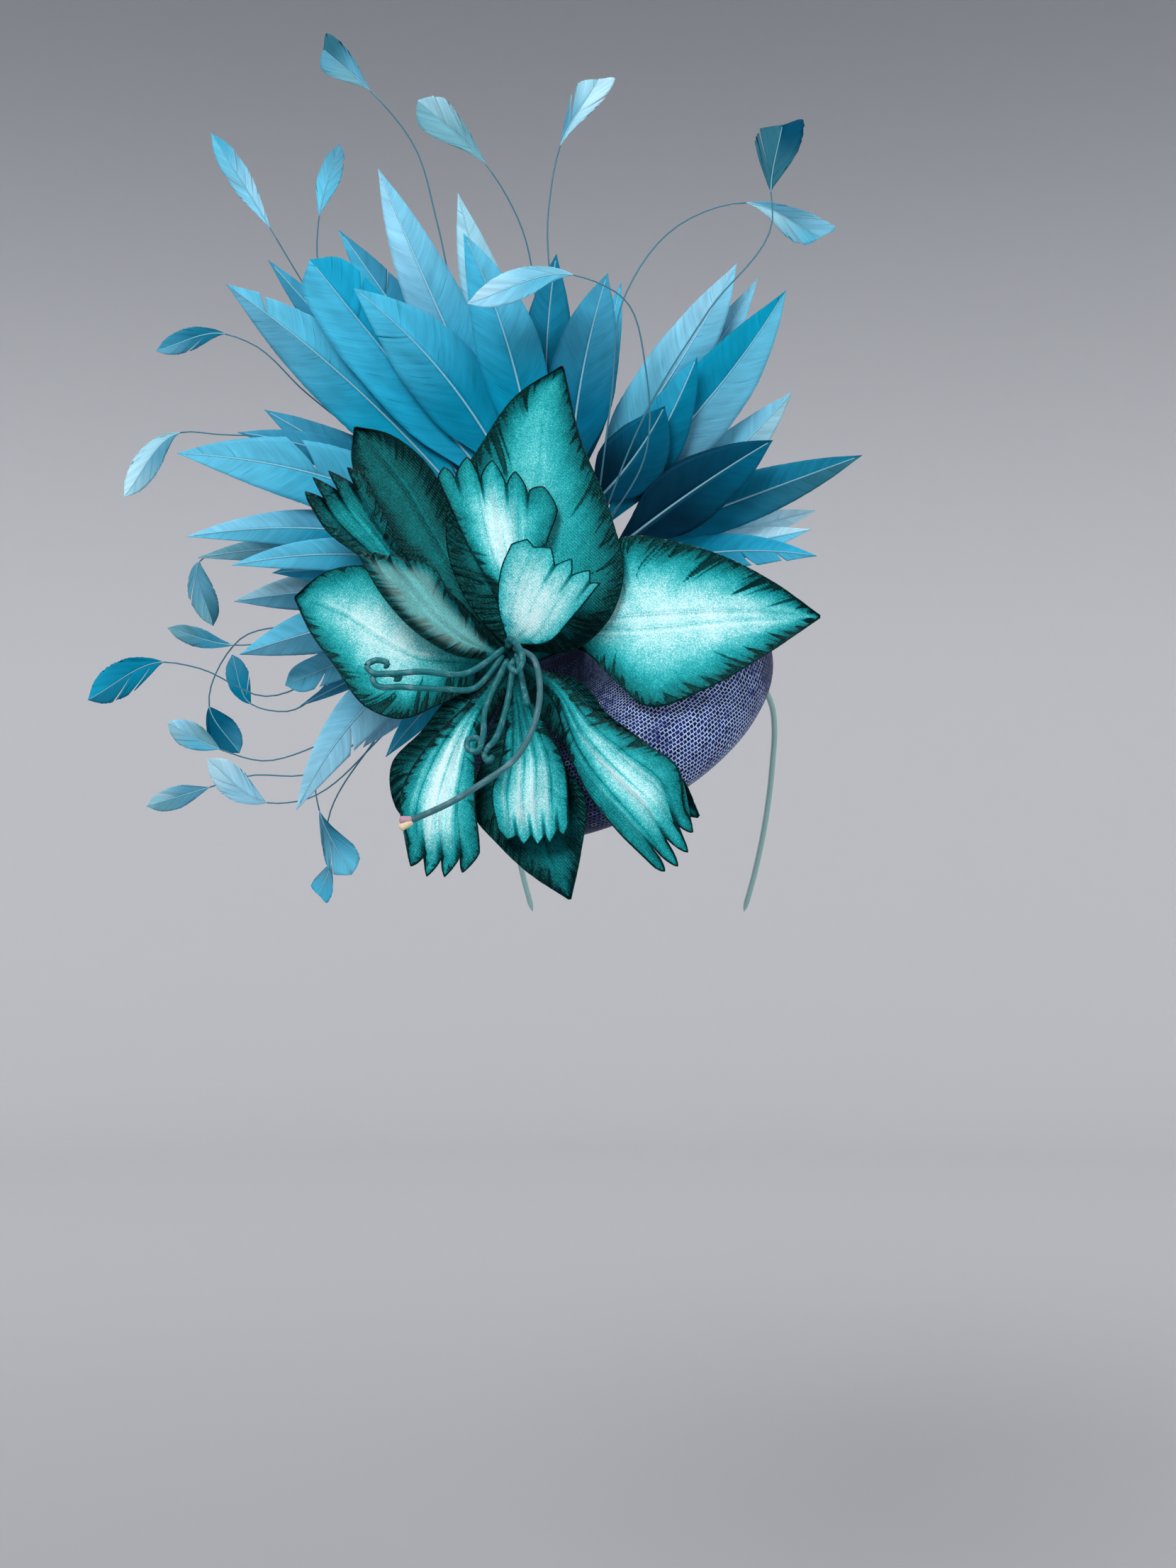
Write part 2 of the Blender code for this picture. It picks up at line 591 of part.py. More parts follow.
# Each spray: name, binding x, z and side of the disc (1 behind, -1 in front), then its stems:
# points of the stem from the binding outwards, end of its tip, half width of the tip, how
# blunt its end is, and its depth half way and at the tip.
SPRAYS = (
    ("upper_left", -68, 122, 1, (
        (((-85, 200), (-100, 282), (-112, 322), (-135, 351)), (-160, 373), 9, 0.6, 52, 40),
        (((-130, 190), (-178, 262), (-188, 279)), (-219, 329), 6, 0.2, 80, 50),
        (((-125, 200), (-163, 262), (-162, 285)), (-151, 323), 6, 0.2, 80, 70),
        (((-130, 162), (-169, 192), (-198, 218), (-212, 223)), (-248, 214), 6, 0.1, 56, 20),
        (((-150, 165), (-215, 170), (-235, 171)), (-265, 137), 7, 0.1, 64, 46),
    )),
    ("top", -45, 128, 1, (
        (((-46, 220), (-57, 283), (-74, 312)), (-110, 346), 10, 0.5, 52, 30),
        (((-36, 200), (-41, 290), (-35, 322)), (-15, 357), 8, 0.5, 56, 60),
    )),
    ("front", -18, 112, -1, (
        (((10, 160), (10, 205), (-1, 241), (-28, 254)), (-84, 239), 8, 0.1, -30, -40),
        (((12, 185), (43, 235), (77, 285), (76, 298)), (82, 333), 12, 0.6, -36, -30),
        (((-8, 190), (-1, 243), (27, 280), (63, 292)), (102, 274), 9, 0.5, -34, 10),
    )),
    ("left", -84, 100, 1, (
        (((-150, 100), (-200, 112), (-225, 103)), (-218, 69), 7, 0.1, 74, 60),
        (((-150, 70), (-190, 60), (-207, 59)), (-242, 68), 5, 0.1, 62, 50),
        (((-150, 50), (-190, 32), (-226, 47), (-244, 50)), (-284, 30), 9, 0.4, 56, 24),
        (((-145, 52), (-180, 24), (-198, 28)), (-208, 54), 6, 0.1, 50, 44),
    )),
    ("lower_left", -80, 84, 1, (
        (((-150, 70), (-205, 61), (-220, 27)), (-204, 2), 8, 0.5, 64, 56),
        (((-130, 30), (-168, 4), (-191, -2), (-214, 4)), (-242, 18), 7, 0.1, 64, 44),
        (((-130, 10), (-172, -23), (-190, -24)), (-221, -1), 8, 0.2, 62, 30),
        (((-130, 20), (-168, -9), (-200, -10), (-220, -16)), (-253, -26), 6, 0.1, 68, 60),
    )),
    ("bottom", -72, 72, 1, (
        (((-140, 20), (-164, -17), (-162, -28)), (-145, -62), 9, 0.5, 36, 30),
        (((-132, 10), (-158, -40), (-156, -55)), (-162, -73), 6, 0.4, 40, 40),
    )),
)
STEM_HALF_WIDTH = 0.6
STEM_STEPS = 7
TIP_STEPS = 5
FINE_POINTS = 60
TIP_OUTLINE = ((0.0, 0.0), (0.3, 0.72), (0.6, 1.0), (0.85, 0.85), (1.0, 0.35))
BINDING_RADIUS = 4.0


def spray_grid(start, stem, tip, half_width, blunt, middle_depth, tip_depth):
    """One strip: as thin as a stem, then as wide as the small feather at its end."""
    points = np.array([start[::2], *stem, tip], float)
    fine = curve_through(points, FINE_POINTS)
    last = FINE_POINTS - 1
    tip_start = np.linalg.norm(fine - points[-2], axis=1).argmin()
    on_stem = np.linspace(0, tip_start, STEM_STEPS)
    picks = np.concatenate([on_stem, np.linspace(tip_start, last, TIP_STEPS + 1)[1:]])
    line = fine[np.round(picks).astype(int)]
    u = np.round(picks) / last
    on_tip = np.clip((picks - tip_start) / (last - tip_start), 0.0, 1.0)
    share = np.interp(on_tip, *zip(*TIP_OUTLINE))
    share[-1] = max(share[-1], blunt)
    half = np.maximum(STEM_HALF_WIDTH, half_width * share)
    slope = np.gradient(line, axis=0)
    slope /= np.linalg.norm(slope, axis=1)[:, None]
    normal = np.stack([-slope[:, 1], slope[:, 0]], axis=1)
    sides = np.array((-1.0, 1.0))
    flat = line[:, None] + (half[:, None] * sides)[..., None] * normal[:, None]
    depth = (1 - u) ** 2 * start[1] + 2 * u * (1 - u) * middle_depth + u**2 * tip_depth
    return np.stack([flat[..., 0], np.repeat(depth[:, None], 2, axis=1), flat[..., 1]], axis=-1)


def make_sprays(parts, pieces):
    finish = material("spray", SPRAY_BLUE, 0.5)
    for name, x, z, side, stems in SPRAYS:
        y = HUB_DEPTH + side * (HUB_THICKNESS / 2 + GAP + BINDING_RADIUS)
        start = (x, y, z)
        bm = bmesh.new()
        bmesh.ops.create_uvsphere(bm, u_segments=8, v_segments=6, radius=BINDING_RADIUS * MM)
        mesh = bpy.data.meshes.new("spray_" + name)
        bm.to_mesh(mesh)
        bm.free()
        binding = new_object("spray_" + name, mesh, finish, parts)
        binding.location = Vector(seen(start)) * MM
        for number, stem in enumerate(stems, 1):
            grid = spray_grid(start, *stem)
            strand = add_sheet(f"strand_{name}_{number}", grid, FEATHER_THICKNESS, finish, pieces)
            hide_cutter(strand)
            add_boolean(binding, strand, "UNION")


def main():
    for item in list(bpy.data.objects):
        bpy.data.objects.remove(item, do_unlink=True)
    parts = bpy.data.collections.new("fascinator")
    pieces = bpy.data.collections.new("cutters")
    for collection in (parts, pieces):
        bpy.context.scene.collection.children.link(collection)
    cutter = new_object("cap_cutter", cap_mesh("cap_cutter", GAP, True), None, pieces)
    hide_cutter(cutter)
    make_cap(parts, pieces)
    make_headband(parts)
    make_mount(parts, cutter)
    make_post(parts, cutter)
    make_flower(parts)
    make_cords(parts)
    make_feathers(parts, pieces)
    make_sprays(parts, pieces)


main()
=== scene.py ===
# %% [markdown]
# # A feather and silk-flower fascinator
# This lesson dresses a plain model of a fascinator: a puffed straw cap, a silk flower with pressed
# petals, and a fan of dyed feathers. The solids come from the frame. Each step below makes one
# visible piece over its solid, in the same place, from the same small tables.

# %% Load the frame
from math import cos, hypot, pi, radians, sin

import bpy
import numpy as np
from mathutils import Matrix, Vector


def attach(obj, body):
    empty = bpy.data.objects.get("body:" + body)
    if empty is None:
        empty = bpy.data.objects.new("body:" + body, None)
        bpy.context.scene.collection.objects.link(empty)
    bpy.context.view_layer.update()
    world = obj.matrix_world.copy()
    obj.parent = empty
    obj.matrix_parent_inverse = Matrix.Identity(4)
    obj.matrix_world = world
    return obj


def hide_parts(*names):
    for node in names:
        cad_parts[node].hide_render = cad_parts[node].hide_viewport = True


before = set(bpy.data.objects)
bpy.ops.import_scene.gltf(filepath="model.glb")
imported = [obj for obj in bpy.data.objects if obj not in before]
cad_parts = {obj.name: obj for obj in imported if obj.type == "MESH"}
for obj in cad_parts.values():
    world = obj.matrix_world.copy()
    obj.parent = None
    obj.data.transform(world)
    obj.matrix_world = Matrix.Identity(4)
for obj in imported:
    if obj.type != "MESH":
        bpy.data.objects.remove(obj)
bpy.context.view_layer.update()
MM = 0.001
print("frame:", len(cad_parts), "nodes")

# %% [markdown]
# ## The camera
# The picture was taken from straight in front, about a metre and a half away. The tables give
# outlines as they show on one upright plane, so the same eye point serves the camera and the tables.

# %% Camera
EYE_DISTANCE = 1550.0
EYE_X = -20.4
EYE_Z = -14.2
SEEN_DEPTH = -50.0
FRAME_HEIGHT = 826.2
SENSOR = 36.0

camera = bpy.data.objects.new("camera", bpy.data.cameras.new("camera"))
camera.location = (EYE_X * MM, -EYE_DISTANCE * MM, EYE_Z * MM)
camera.rotation_euler = (radians(90), 0, 0)
camera.data.sensor_width = SENSOR
camera.data.lens = SENSOR * (EYE_DISTANCE + SEEN_DEPTH) / FRAME_HEIGHT
bpy.context.scene.collection.objects.link(camera)
bpy.context.scene.camera = camera
bpy.context.scene.view_settings.view_transform = "Standard"
print("camera lens", round(camera.data.lens, 1))

# %% [markdown]
# ## Points and curves
# Every shape starts as an array of points in millimetres. `seen` moves a point along the line of
# sight to its real depth, so that an outline keeps its place in the picture. `curve_through` is a
# smooth curve: each span is the cubic whose ends have the slopes of the points around them.

# %% Curve helpers
def seen(points):
    """x and z scaled about the eye by (eye distance + depth) / (eye distance + seen depth)."""
    points = np.asarray(points, float)
    far = (EYE_DISTANCE + points[..., 1]) / (EYE_DISTANCE + SEEN_DEPTH)
    x = EYE_X + (points[..., 0] - EYE_X) * far
    z = EYE_Z + (points[..., 2] - EYE_Z) * far
    return np.stack([x, points[..., 1], z], axis=-1)


def unseen(points):
    """The other way round: where a point in space shows on the seen plane."""
    points = np.asarray(points, float)
    far = (EYE_DISTANCE + points[..., 1]) / (EYE_DISTANCE + SEEN_DEPTH)
    x = EYE_X + (points[..., 0] - EYE_X) / far
    z = EYE_Z + (points[..., 2] - EYE_Z) / far
    return np.stack([x, points[..., 1], z], axis=-1)


def curve_through(points, count):
    """Evenly spaced points on a smooth curve through the given ones, by cubic spans."""
    points = np.asarray(points, float)
    along = np.concatenate([[0.0], np.cumsum(np.linalg.norm(np.diff(points, axis=0), axis=1))])
    slopes = np.gradient(points, along, axis=0)
    spots = np.linspace(0.0, along[-1], count)
    i = np.clip(np.searchsorted(along, spots, side="right") - 1, 0, len(points) - 2)
    span = (along[i + 1] - along[i])[:, None]
    s = (spots - along[i])[:, None] / span
    start = (1 + 2 * s) * (1 - s) ** 2 * points[i] + s * (1 - s) ** 2 * span * slopes[i]
    end = s * s * (3 - 2 * s) * points[i + 1] + s * s * (s - 1) * span * slopes[i + 1]
    return start + end


def smooth(low, high, value):
    """0 below low, 1 above high, and an S between them: 3t^2 - 2t^3."""
    t = np.clip((value - low) / (high - low), 0.0, 1.0)
    return t * t * (3 - 2 * t)


def wander(rng, count, knots):
    """A smooth random line from -1 to 1: random heights at a few knots, joined by a curve."""
    heights = rng.uniform(-1.0, 1.0, knots)
    return curve_through(np.stack([np.linspace(0, 1, knots), heights], axis=1), count)[:, 1]


print("half way on a curve:", curve_through(((0, 0), (1, 1), (2, 0)), 3)[1])

# %% [markdown]
# ## The dyes
# Feathers and silk are dyed by hand in small baths, so their blues are a family and no two pieces
# match. Each piece could have a colour of its own. A short list of named dyes keeps the family
# together instead, and the tables below then name them in words.

# %% Dye colours
def dye(code):
    """A colour code as shown on a screen, turned to the linear values that shaders use."""
    parts = np.array([int(code[i:i + 2], 16) for i in (0, 2, 4)]) / 255.0
    return np.where(parts <= 0.04045, parts / 12.92, ((parts + 0.055) / 1.055) ** 2.4)


DYES = {
    "ice": dye("93CDE6"),
    "pale": dye("7CC3DE"),
    "sky": dye("5FB8D6"),
    "aqua": dye("45ABCD"),
    "blue": dye("2C9DC0"),
    "bright": dye("1592B6"),
    "turquoise": dye("088DAE"),
    "lagoon": dye("057A9A"),
    "steel": dye("3A8AA8"),
    "slate": dye("5796B0"),
    "petrol": dye("176C88"),
    "deep": dye("045A78"),
    "ink": dye("033F58"),
    "night": dye("031E30"),
    "sea_grey": dye("6BA2B0"),
    "mist": dye("95C6D6"),
    "shadow": dye("2A6070"),
    "frost": dye("B5E0F0"),
}
print("dyes:", len(DYES))

# %% [markdown]
# ## Meshes from grids
# A real feather or petal is a thin sheet. It could be pulled out of a plane by hand, but a grid of
# points that is worked out from two parameters has exact edges and changes with one number.
# `Sheets` gathers such grids, with what each point carries for its finish, and joins them in one
# mesh. Solidify then gives the sheet its thickness.

# %% Mesh helpers
def grid_faces(rows, columns, start, closed):
    """Quads between neighbours in a grid that is numbered row by row from start."""
    last = columns if closed else columns - 1
    i, j = np.meshgrid(np.arange(rows - 1), np.arange(last), indexing="ij")
    here = start + i * columns + j
    beside = start + i * columns + (j + 1) % columns
    return np.stack([here, beside, beside + columns, here + columns], axis=-1).reshape(-1, 4)


class Sheets:
    """Grids of points in millimetres, each with its marks, to be joined in one mesh."""

    def __init__(self):
        self.points, self.faces, self.slots, self.marks = [], [], [], {}
        self.count = 0

    def add(self, grid, slot=0, closed=False, **marks):
        rows, columns = grid.shape[:2]
        faces = grid_faces(rows, columns, self.count, closed)
        self.points.append(grid.reshape(-1, 3))
        self.faces.append(faces)
        self.slots.append(np.full(len(faces), slot))
        for label, values in marks.items():
            values = np.asarray(values, float)
            spread = np.broadcast_to(values, (rows, columns, values.shape[-1]))
            self.marks.setdefault(label, []).append(spread.reshape(rows * columns, -1))
        self.count += rows * columns

    def build(self, name, finishes, nodes, wall=0.0):
        """Makes the object, its UV maps (two values a point) and its attributes (one or three)."""
        points = np.concatenate(self.points) * MM
        mesh = bpy.data.meshes.new(name)
        mesh.from_pydata(points.tolist(), [], np.concatenate(self.faces).tolist())
        corner = np.empty(len(mesh.loops), np.int32)
        mesh.loops.foreach_get("vertex_index", corner)
        for label, values in self.marks.items():
            values = np.concatenate(values)
            if values.shape[1] == 2:
                layer = mesh.uv_layers.new(name=label)
                layer.data.foreach_set("uv", values[corner].astype(np.float32).ravel())
            elif values.shape[1] == 1:
                layer = mesh.attributes.new(label, "FLOAT", "POINT")
                layer.data.foreach_set("value", values.astype(np.float32).ravel())
            else:
                layer = mesh.attributes.new(label, "FLOAT_COLOR", "POINT")
                values = np.concatenate([values, np.ones((len(values), 1))], axis=1)
                layer.data.foreach_set("color", values.astype(np.float32).ravel())
        for finish in finishes:
            mesh.materials.append(finish)
        mesh.polygons.foreach_set("material_index", np.concatenate(self.slots).astype(np.int32))
        mesh.shade_smooth()
        piece = bpy.data.objects.new(name, mesh)
        bpy.context.scene.collection.objects.link(piece)
        if wall:
            solid = piece.modifiers.new("wall", "SOLIDIFY")
            solid.thickness = wall * MM
            solid.offset = 0.0
        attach(piece, "root")
        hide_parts(*nodes)
        return piece


def tube_grid(path, radius, sides, across=(0.0, 1.0, 0.0)):
    """Circles round a path: path + radius * (cos a * n + sin a * b), n and b square to the path."""
    path = np.asarray(path, float)
    run = np.gradient(path, axis=0)
    run /= np.linalg.norm(run, axis=1)[:, None]
    side = np.cross(run, np.array(across, float))
    side /= np.linalg.norm(side, axis=1)[:, None]
    other = np.cross(side, run)
    turn = np.linspace(0.0, 2 * pi, sides, endpoint=False)
    circle = np.cos(turn)[None, :, None] * side[:, None] + np.sin(turn)[None, :, None] * other[:, None]
    return path[:, None] + np.broadcast_to(radius, len(path))[:, None, None] * circle


print("faces between 3 rows of 4 points:", len(grid_faces(3, 4, 0, False)))

# %% [markdown]
# ## Finishes
# A finish is a node tree. It could be wired by hand in the shader editor, but a long sum is easier
# to read and to change in words. `Value` wraps one socket, so shader maths reads as plain sums.
# `Finish` starts a material and adds any node from its type, its settings and what goes into its
# sockets.

# %% Shader helpers
class Value:
    """A socket that adds, scales and compares like a number."""

    def __init__(self, finish, socket):
        self.finish = finish
        self.socket = socket

    def math(self, operation, *values):
        return self.finish.node("Math", {"operation": operation}, dict(enumerate(values)))

    def __add__(self, other):
        return self.math("ADD", self, other)

    def __sub__(self, other):
        return self.math("SUBTRACT", self, other)

    def __rsub__(self, other):
        return self.math("SUBTRACT", other, self)

    def __mul__(self, other):
        return self.math("MULTIPLY", self, other)

    def __truediv__(self, other):
        return self.math("DIVIDE", self, other)

    __radd__ = __add__
    __rmul__ = __mul__

    def sine(self):
        return self.math("SINE", self)

    def fraction(self):
        return self.math("FRACT", self)

    def size(self):
        return self.math("ABSOLUTE", self)

    def most(self, other):
        return self.math("MAXIMUM", self, other)

    def rise(self, low, high, start=0.0, end=1.0):
        """Goes smoothly from start to end as the value goes from low to high."""
        settings = {"interpolation_type": "SMOOTHSTEP"}
        return self.finish.node("MapRange", settings, {0: self, 1: low, 2: high, 3: start, 4: end})


class Finish:
    """One material and its Principled shader."""

    def __init__(self, name, constants):
        self.material = bpy.data.materials.new(name)
        self.material.use_nodes = True
        self.tree = self.material.node_tree
        self.shader = self.tree.nodes["Principled BSDF"]
        for label, number in constants.items():
            self.shader.inputs[label].default_value = number

    def node(self, kind, settings=None, inputs=None, output=0):
        made = self.tree.nodes.new("ShaderNode" + kind)
        for label, setting in (settings or {}).items():
            if label == "stops":
                ramp = made.color_ramp
                while len(ramp.elements) < len(setting):
                    ramp.elements.new(1.0)
                for element, (place, colour) in zip(ramp.elements, setting):
                    element.position = place
                    element.color = (*colour, 1.0)
            else:
                setattr(made, label, setting)
        for label, value in (inputs or {}).items():
            self.put(made.inputs[label], value)
        return Value(self, made.outputs[output])

    def put(self, socket, value):
        if isinstance(value, Value):
            self.tree.links.new(value.socket, socket)
        else:
            socket.default_value = value

    def uv(self, label):
        """The two values of a UV map, as numbers."""
        both = self.node("UVMap", {"uv_map": label})
        return (
            self.node("SeparateXYZ", None, {0: both}, 0),
            self.node("SeparateXYZ", None, {0: both}, 1),
        )

    def point(self, x, y, z=0.0):
        return self.node("CombineXYZ", None, {0: x, 1: y, 2: z})

    def noise(self, place, scale=1.0, detail=2.0, roughness=0.5):
        settings = {"noise_dimensions": "3D"}
        inputs = {"Vector": place, "Scale": scale, "Detail": detail, "Roughness": roughness}
        return self.node("TexNoise", settings, inputs)

    def attribute(self, label, output=2):
        return self.node("Attribute", {"attribute_name": label}, None, output)

    def mix(self, share, first, second):
        return self.node("Mix", {"data_type": "RGBA"}, {0: share, 6: first, 7: second}, 2)

    def shine(self, level, tint):
        """How strong the highlights are and which colour the dye gives them."""
        self.shader.inputs["Specular IOR Level"].default_value = level
        self.shader.inputs["Specular Tint"].default_value = (*dye(tint), 1.0)

    def surface(self, colour, roughness=None, height=None, bump=0.3, distance=0.0004):
        self.put(self.shader.inputs["Base Color"], colour)
        if roughness is not None:
            self.put(self.shader.inputs["Roughness"], roughness)
        if height is not None:
            inputs = {"Strength": bump, "Distance": distance, "Height": height}
            self.put(self.shader.inputs["Normal"], self.node("Bump", None, inputs))
        return self.material


print("finishes are made by", Finish.__name__, "from sums of", Value.__name__)

# %% [markdown]
# ## The feather finish
# A dyed goose feather has fine barbs that leave the quill at a slant. A picture of a feather could
# be laid on the vane, but every feather would then show the same barbs. Instead each vane's UV map
# runs along the quill and out along the barb, both in millimetres, and noise that is stretched
# along the barb draws them. The dye is a colour on each point, so one finish serves every feather.

# %% Feather and quill finishes
# How often each kind of change comes in a millimetre, along the quill and along the barb
FINE_BARBS = (2.6, 0.05)
BROAD_BARBS = (0.22, 0.04)
DYE_PATCH = (0.05, 0.09)
DARK_STREAK = (0.7, 0.06)
QUILL_RINGS = 0.9
VANE_STRIATION = 0.75
WISP_STRIATION = 0.95


def feather_finish(name, striation):
    """Colour = dye * (1 + fine and broad barbs + patches - dark streaks), each about nought."""
    finish = Finish(name, {"Roughness": 0.5})
    finish.shine(0.3, "2FA8D8")
    along, out = finish.uv("barb")

    def barbs(scale, seed, detail, roughness):
        place = finish.point(along * scale[0], out * scale[1], seed)
        return finish.noise(place, 1.0, detail, roughness)

    fine = barbs(FINE_BARBS, 0.0, 3.0, 0.7)
    broad = barbs(BROAD_BARBS, 0.0, 3.0, 0.6)
    patch = barbs(DYE_PATCH, 3.0, 1.0, 0.5)
    streak = barbs(DARK_STREAK, 9.0, 1.0, 0.5).rise(0.66, 0.74)
    shade = 1.0 + (fine - 0.5) * striation + (broad - 0.5) * 0.6 + (patch - 0.5) * 0.6 - streak * 0.3
    base = finish.attribute("dye", 0)
    grey = finish.node("CombineXYZ", None, {0: shade - streak * 0.2, 1: shade, 2: shade})
    colour = finish.node("VectorMath", {"operation": "MULTIPLY"}, {0: base, 1: grey})
    return finish.surface(colour, 0.42 + (broad - 0.5) * 0.3, fine + broad * 0.6, 0.35, 0.0003)


def quill_finish():
    finish = Finish("quill", {"Roughness": 0.32})
    finish.shine(0.5, "8FDCF0")
    along, _ = finish.uv("barb")
    rings = finish.noise(finish.point(along * QUILL_RINGS, 0.0), 1.0, 2.0, 0.6)
    base = finish.attribute("dye", 0)
    colour = finish.mix(rings.rise(0.35, 0.7, 0.0, 0.25), base, (*DYES["petrol"], 1.0))
    return finish.surface(colour, None, rings, 0.3, 0.0002)


VANE = feather_finish("feather_vane", VANE_STRIATION)
WISP = feather_finish("spray_vane", WISP_STRIATION)
QUILL = quill_finish()
print("finishes:", VANE.name, WISP.name, QUILL.name)

# %% [markdown]
# ## One feather
# A feather could be a flat card with a cut outline. On a real one the barbs leave the quill at a
# slant, and it is along them that a vane splits and catches the light, so the vane here is a
# herringbone grid. One parameter runs up the trimmed outline and the other runs along a barb, from
# the quill out to the outline. Splits open where a strip of barbs has come unzipped from the next.
# The quill is a thin tapering tube on top.

# %% Vane and quill shapes
VANE_ROWS = 84
VANE_COLUMNS = 8
LEAST_WIDTH = 0.02
RIM_WAVE = 0.03
BARB_BEND = 0.10
SPLIT_REACH = 0.07
QUILL_STEPS = 30
QUILL_SIDES = 6
QUILL_LIFT = 0.15
# Each outline: share of the feather's length, then share of its greatest half width
OUTLINES = {
    "lance": ((0.0, 0.05), (0.15, 0.42), (0.32, 0.90), (0.50, 1.0), (0.70, 0.80), (0.86, 0.45), (1.0, 0.0)),
    "blunt": ((0.0, 0.05), (0.15, 0.42), (0.32, 0.88), (0.55, 1.0), (0.8, 0.92), (0.95, 0.62), (1.0, 0.0)),
    "leaf": ((0.0, 0.0), (0.18, 0.42), (0.45, 0.95), (0.65, 1.0), (0.85, 0.68), (1.0, 0.0)),
    "long": ((0.0, 0.0), (0.25, 0.32), (0.5, 0.68), (0.75, 0.96), (0.95, 1.0), (1.12, 0.9), (1.0, 0.0)),
    "short": ((0.0, 0.0), (0.25, 0.34), (0.5, 0.74), (0.70, 1.0), (0.84, 0.95), (0.94, 0.5), (1.0, 0.0)),
}
# The outline of each trim on its right and on its left side
TRIMS = {
    "lance": ("lance", "lance"),
    "blunt": ("blunt", "blunt"),
    "leaf": ("leaf", "leaf"),
    "cut_left": ("short", "long"),
    "cut_right": ("long", "short"),
    "square": ("short", "short"),
}


def quill_points(root, tip, bow, count=60):
    """A straight line from root to tip, bowed to its left by bow * 4u(1 - u)."""
    u = np.linspace(0.0, 1.0, count)[:, None]
    run = (tip - root) / np.linalg.norm(tip - root)
    left = np.array((-run[1], run[0]))
    return root + u * (tip - root) + bow * 4 * u * (1 - u) * left


def at(line, station):
    """The point of a line at each station from 0 to 1."""
    stations = np.linspace(0.0, 1.0, len(line))
    return np.stack([np.interp(station, stations, line[:, k]) for k in range(line.shape[1])], axis=-1)


def add_vane(sheets, line, depth, half, shape, side, lean, splits, ragged, dyes, rng):
    """Barb point = quill(s) + t * (outline(p) - quill(s)), where s = p - lean * width(p) / length."""
    length = np.linalg.norm(np.diff(line, axis=0), axis=1).sum()
    outline = np.array(OUTLINES[TRIMS[shape][side > 0]]) * (length, half)
    rim = curve_through(outline, VANE_ROWS)
    p = np.maximum(rim[:, 0] / length, 0.0)
    width = np.maximum(rim[:, 1], LEAST_WIDTH)
    s = np.maximum.accumulate(np.clip(p - lean * width / length, 0.0, 1.0))
    run = np.gradient(line, axis=0)
    run /= np.linalg.norm(run, axis=1)[:, None]
    run_p = at(run, p)
    normal = np.stack([-run_p[:, 1], run_p[:, 0]], axis=1)
    width = width * (1 + ragged * rng.uniform(-1, 0.4, VANE_ROWS) + RIM_WAVE * wander(rng, VANE_ROWS, 9))
    beyond = np.maximum(p - 1.0, 0.0)[:, None] * length * run_p
    outer = at(line, p) + beyond + side * width[:, None] * normal
    inner = at(line, s)
    t = np.linspace(0.0, 1.0, VANE_COLUMNS)
    bend = -BARB_BEND * width[:, None] * 4 * t * (1 - t)
    flat = inner[:, None] + (outer - inner)[:, None] * t[None, :, None] + bend[..., None] * run_p[:, None]
    camber = rng.uniform(0.5, 1.3)
    flutter = 0.5 * wander(rng, VANE_ROWS, 6)[:, None] * t**2
    station = s[:, None] + (p - s)[:, None] * t
    y = depth(station) + camber * (width[:, None] / half * t) ** 1.5 + flutter
    # From root dye to tip dye: partly dye, partly painted shade that darkens the root end
    tint = smooth(0.35, 0.95, station)[..., None]
    shade = dyes[0] + (dyes[1] - dyes[0]) * tint
    # A random factor per vane: painted light and shade, each vane a little lighter or darker as if turned to
    # the light at its own angle
    shade = shade * rng.uniform(0.88, 1.08)
    barb = np.stack([s[:, None] * length + 0 * t, side * width[:, None] * t], axis=-1)
    barb = barb + rng.uniform(0, 300)
    cuts = sorted(int(np.abs(p - where).argmin()) for where, _, _ in splits)
    edges = [0, *cuts, VANE_ROWS - 1]
    for first, last in zip(edges, edges[1:]):
        rows = slice(first, last + 1)
        move = np.zeros((last + 1 - first, VANE_COLUMNS))
        for where, from_quill, gap in splits:
            open_out = np.clip((t - from_quill) / (1 - from_quill), 0.0, 1.0)[None, :] ** 1.3
            near = np.exp(-np.abs(p[rows] - where) / SPLIT_REACH)[:, None]
            direction = 1.0 if p[rows].mean() > where else -1.0
            move = move + direction * 0.5 * gap * open_out * near
        moved = flat[rows] + move[..., None] * run_p[rows][:, None]
        grid = np.stack([moved[..., 0], y[rows], moved[..., 1]], axis=-1)
        if side > 0:
            sheets.add(seen(grid)[:, ::-1], dye=shade[rows][:, ::-1], barb=barb[rows][:, ::-1])
        else:
            sheets.add(seen(grid), dye=shade[rows], barb=barb[rows])


def add_quill(sheets, line, depth, thick, thin, colour, start=0.0, end=0.97):
    """A tube on the quill's line: radius = thick + (thin - thick) * share^0.8 from root to tip."""
    station = np.linspace(start, end, QUILL_STEPS)
    flat = at(line, station)
    path = np.stack([flat[:, 0], depth(station) - QUILL_LIFT, flat[:, 1]], axis=1)
    radius = thick + (thin - thick) * np.linspace(0, 1, QUILL_STEPS) ** 0.8
    grid = tube_grid(seen(path), radius, QUILL_SIDES)
    barb = np.stack(np.broadcast_arrays(station[:, None] * 150, np.zeros((1, QUILL_SIDES))), axis=-1)
    sheets.add(grid, slot=1, closed=True, dye=colour, barb=barb)


def add_feather(sheets, line, depth, half, shape, lean, splits, ragged, dyes, quill, rng):
    """Two vanes and a quill. A comma in the dyes parts the left side's from the right side's."""
    pairs = [[DYES[name] for name in pair.split()] for pair in dyes.split(", ")]
    for side, pair in ((-1, pairs[-1]), (1, pairs[0])):
        mine = [(where, from_quill, gap) for which, where, from_quill, gap in splits if which == side]
        add_vane(sheets, line, depth, half, shape, side, lean, mine, ragged, pair, rng)
    add_quill(sheets, line, depth, *quill, pairs[0][1] * 0.4 + DYES["mist"] * 0.6)


print("outlines:", len(OUTLINES), "trims:", len(TRIMS))

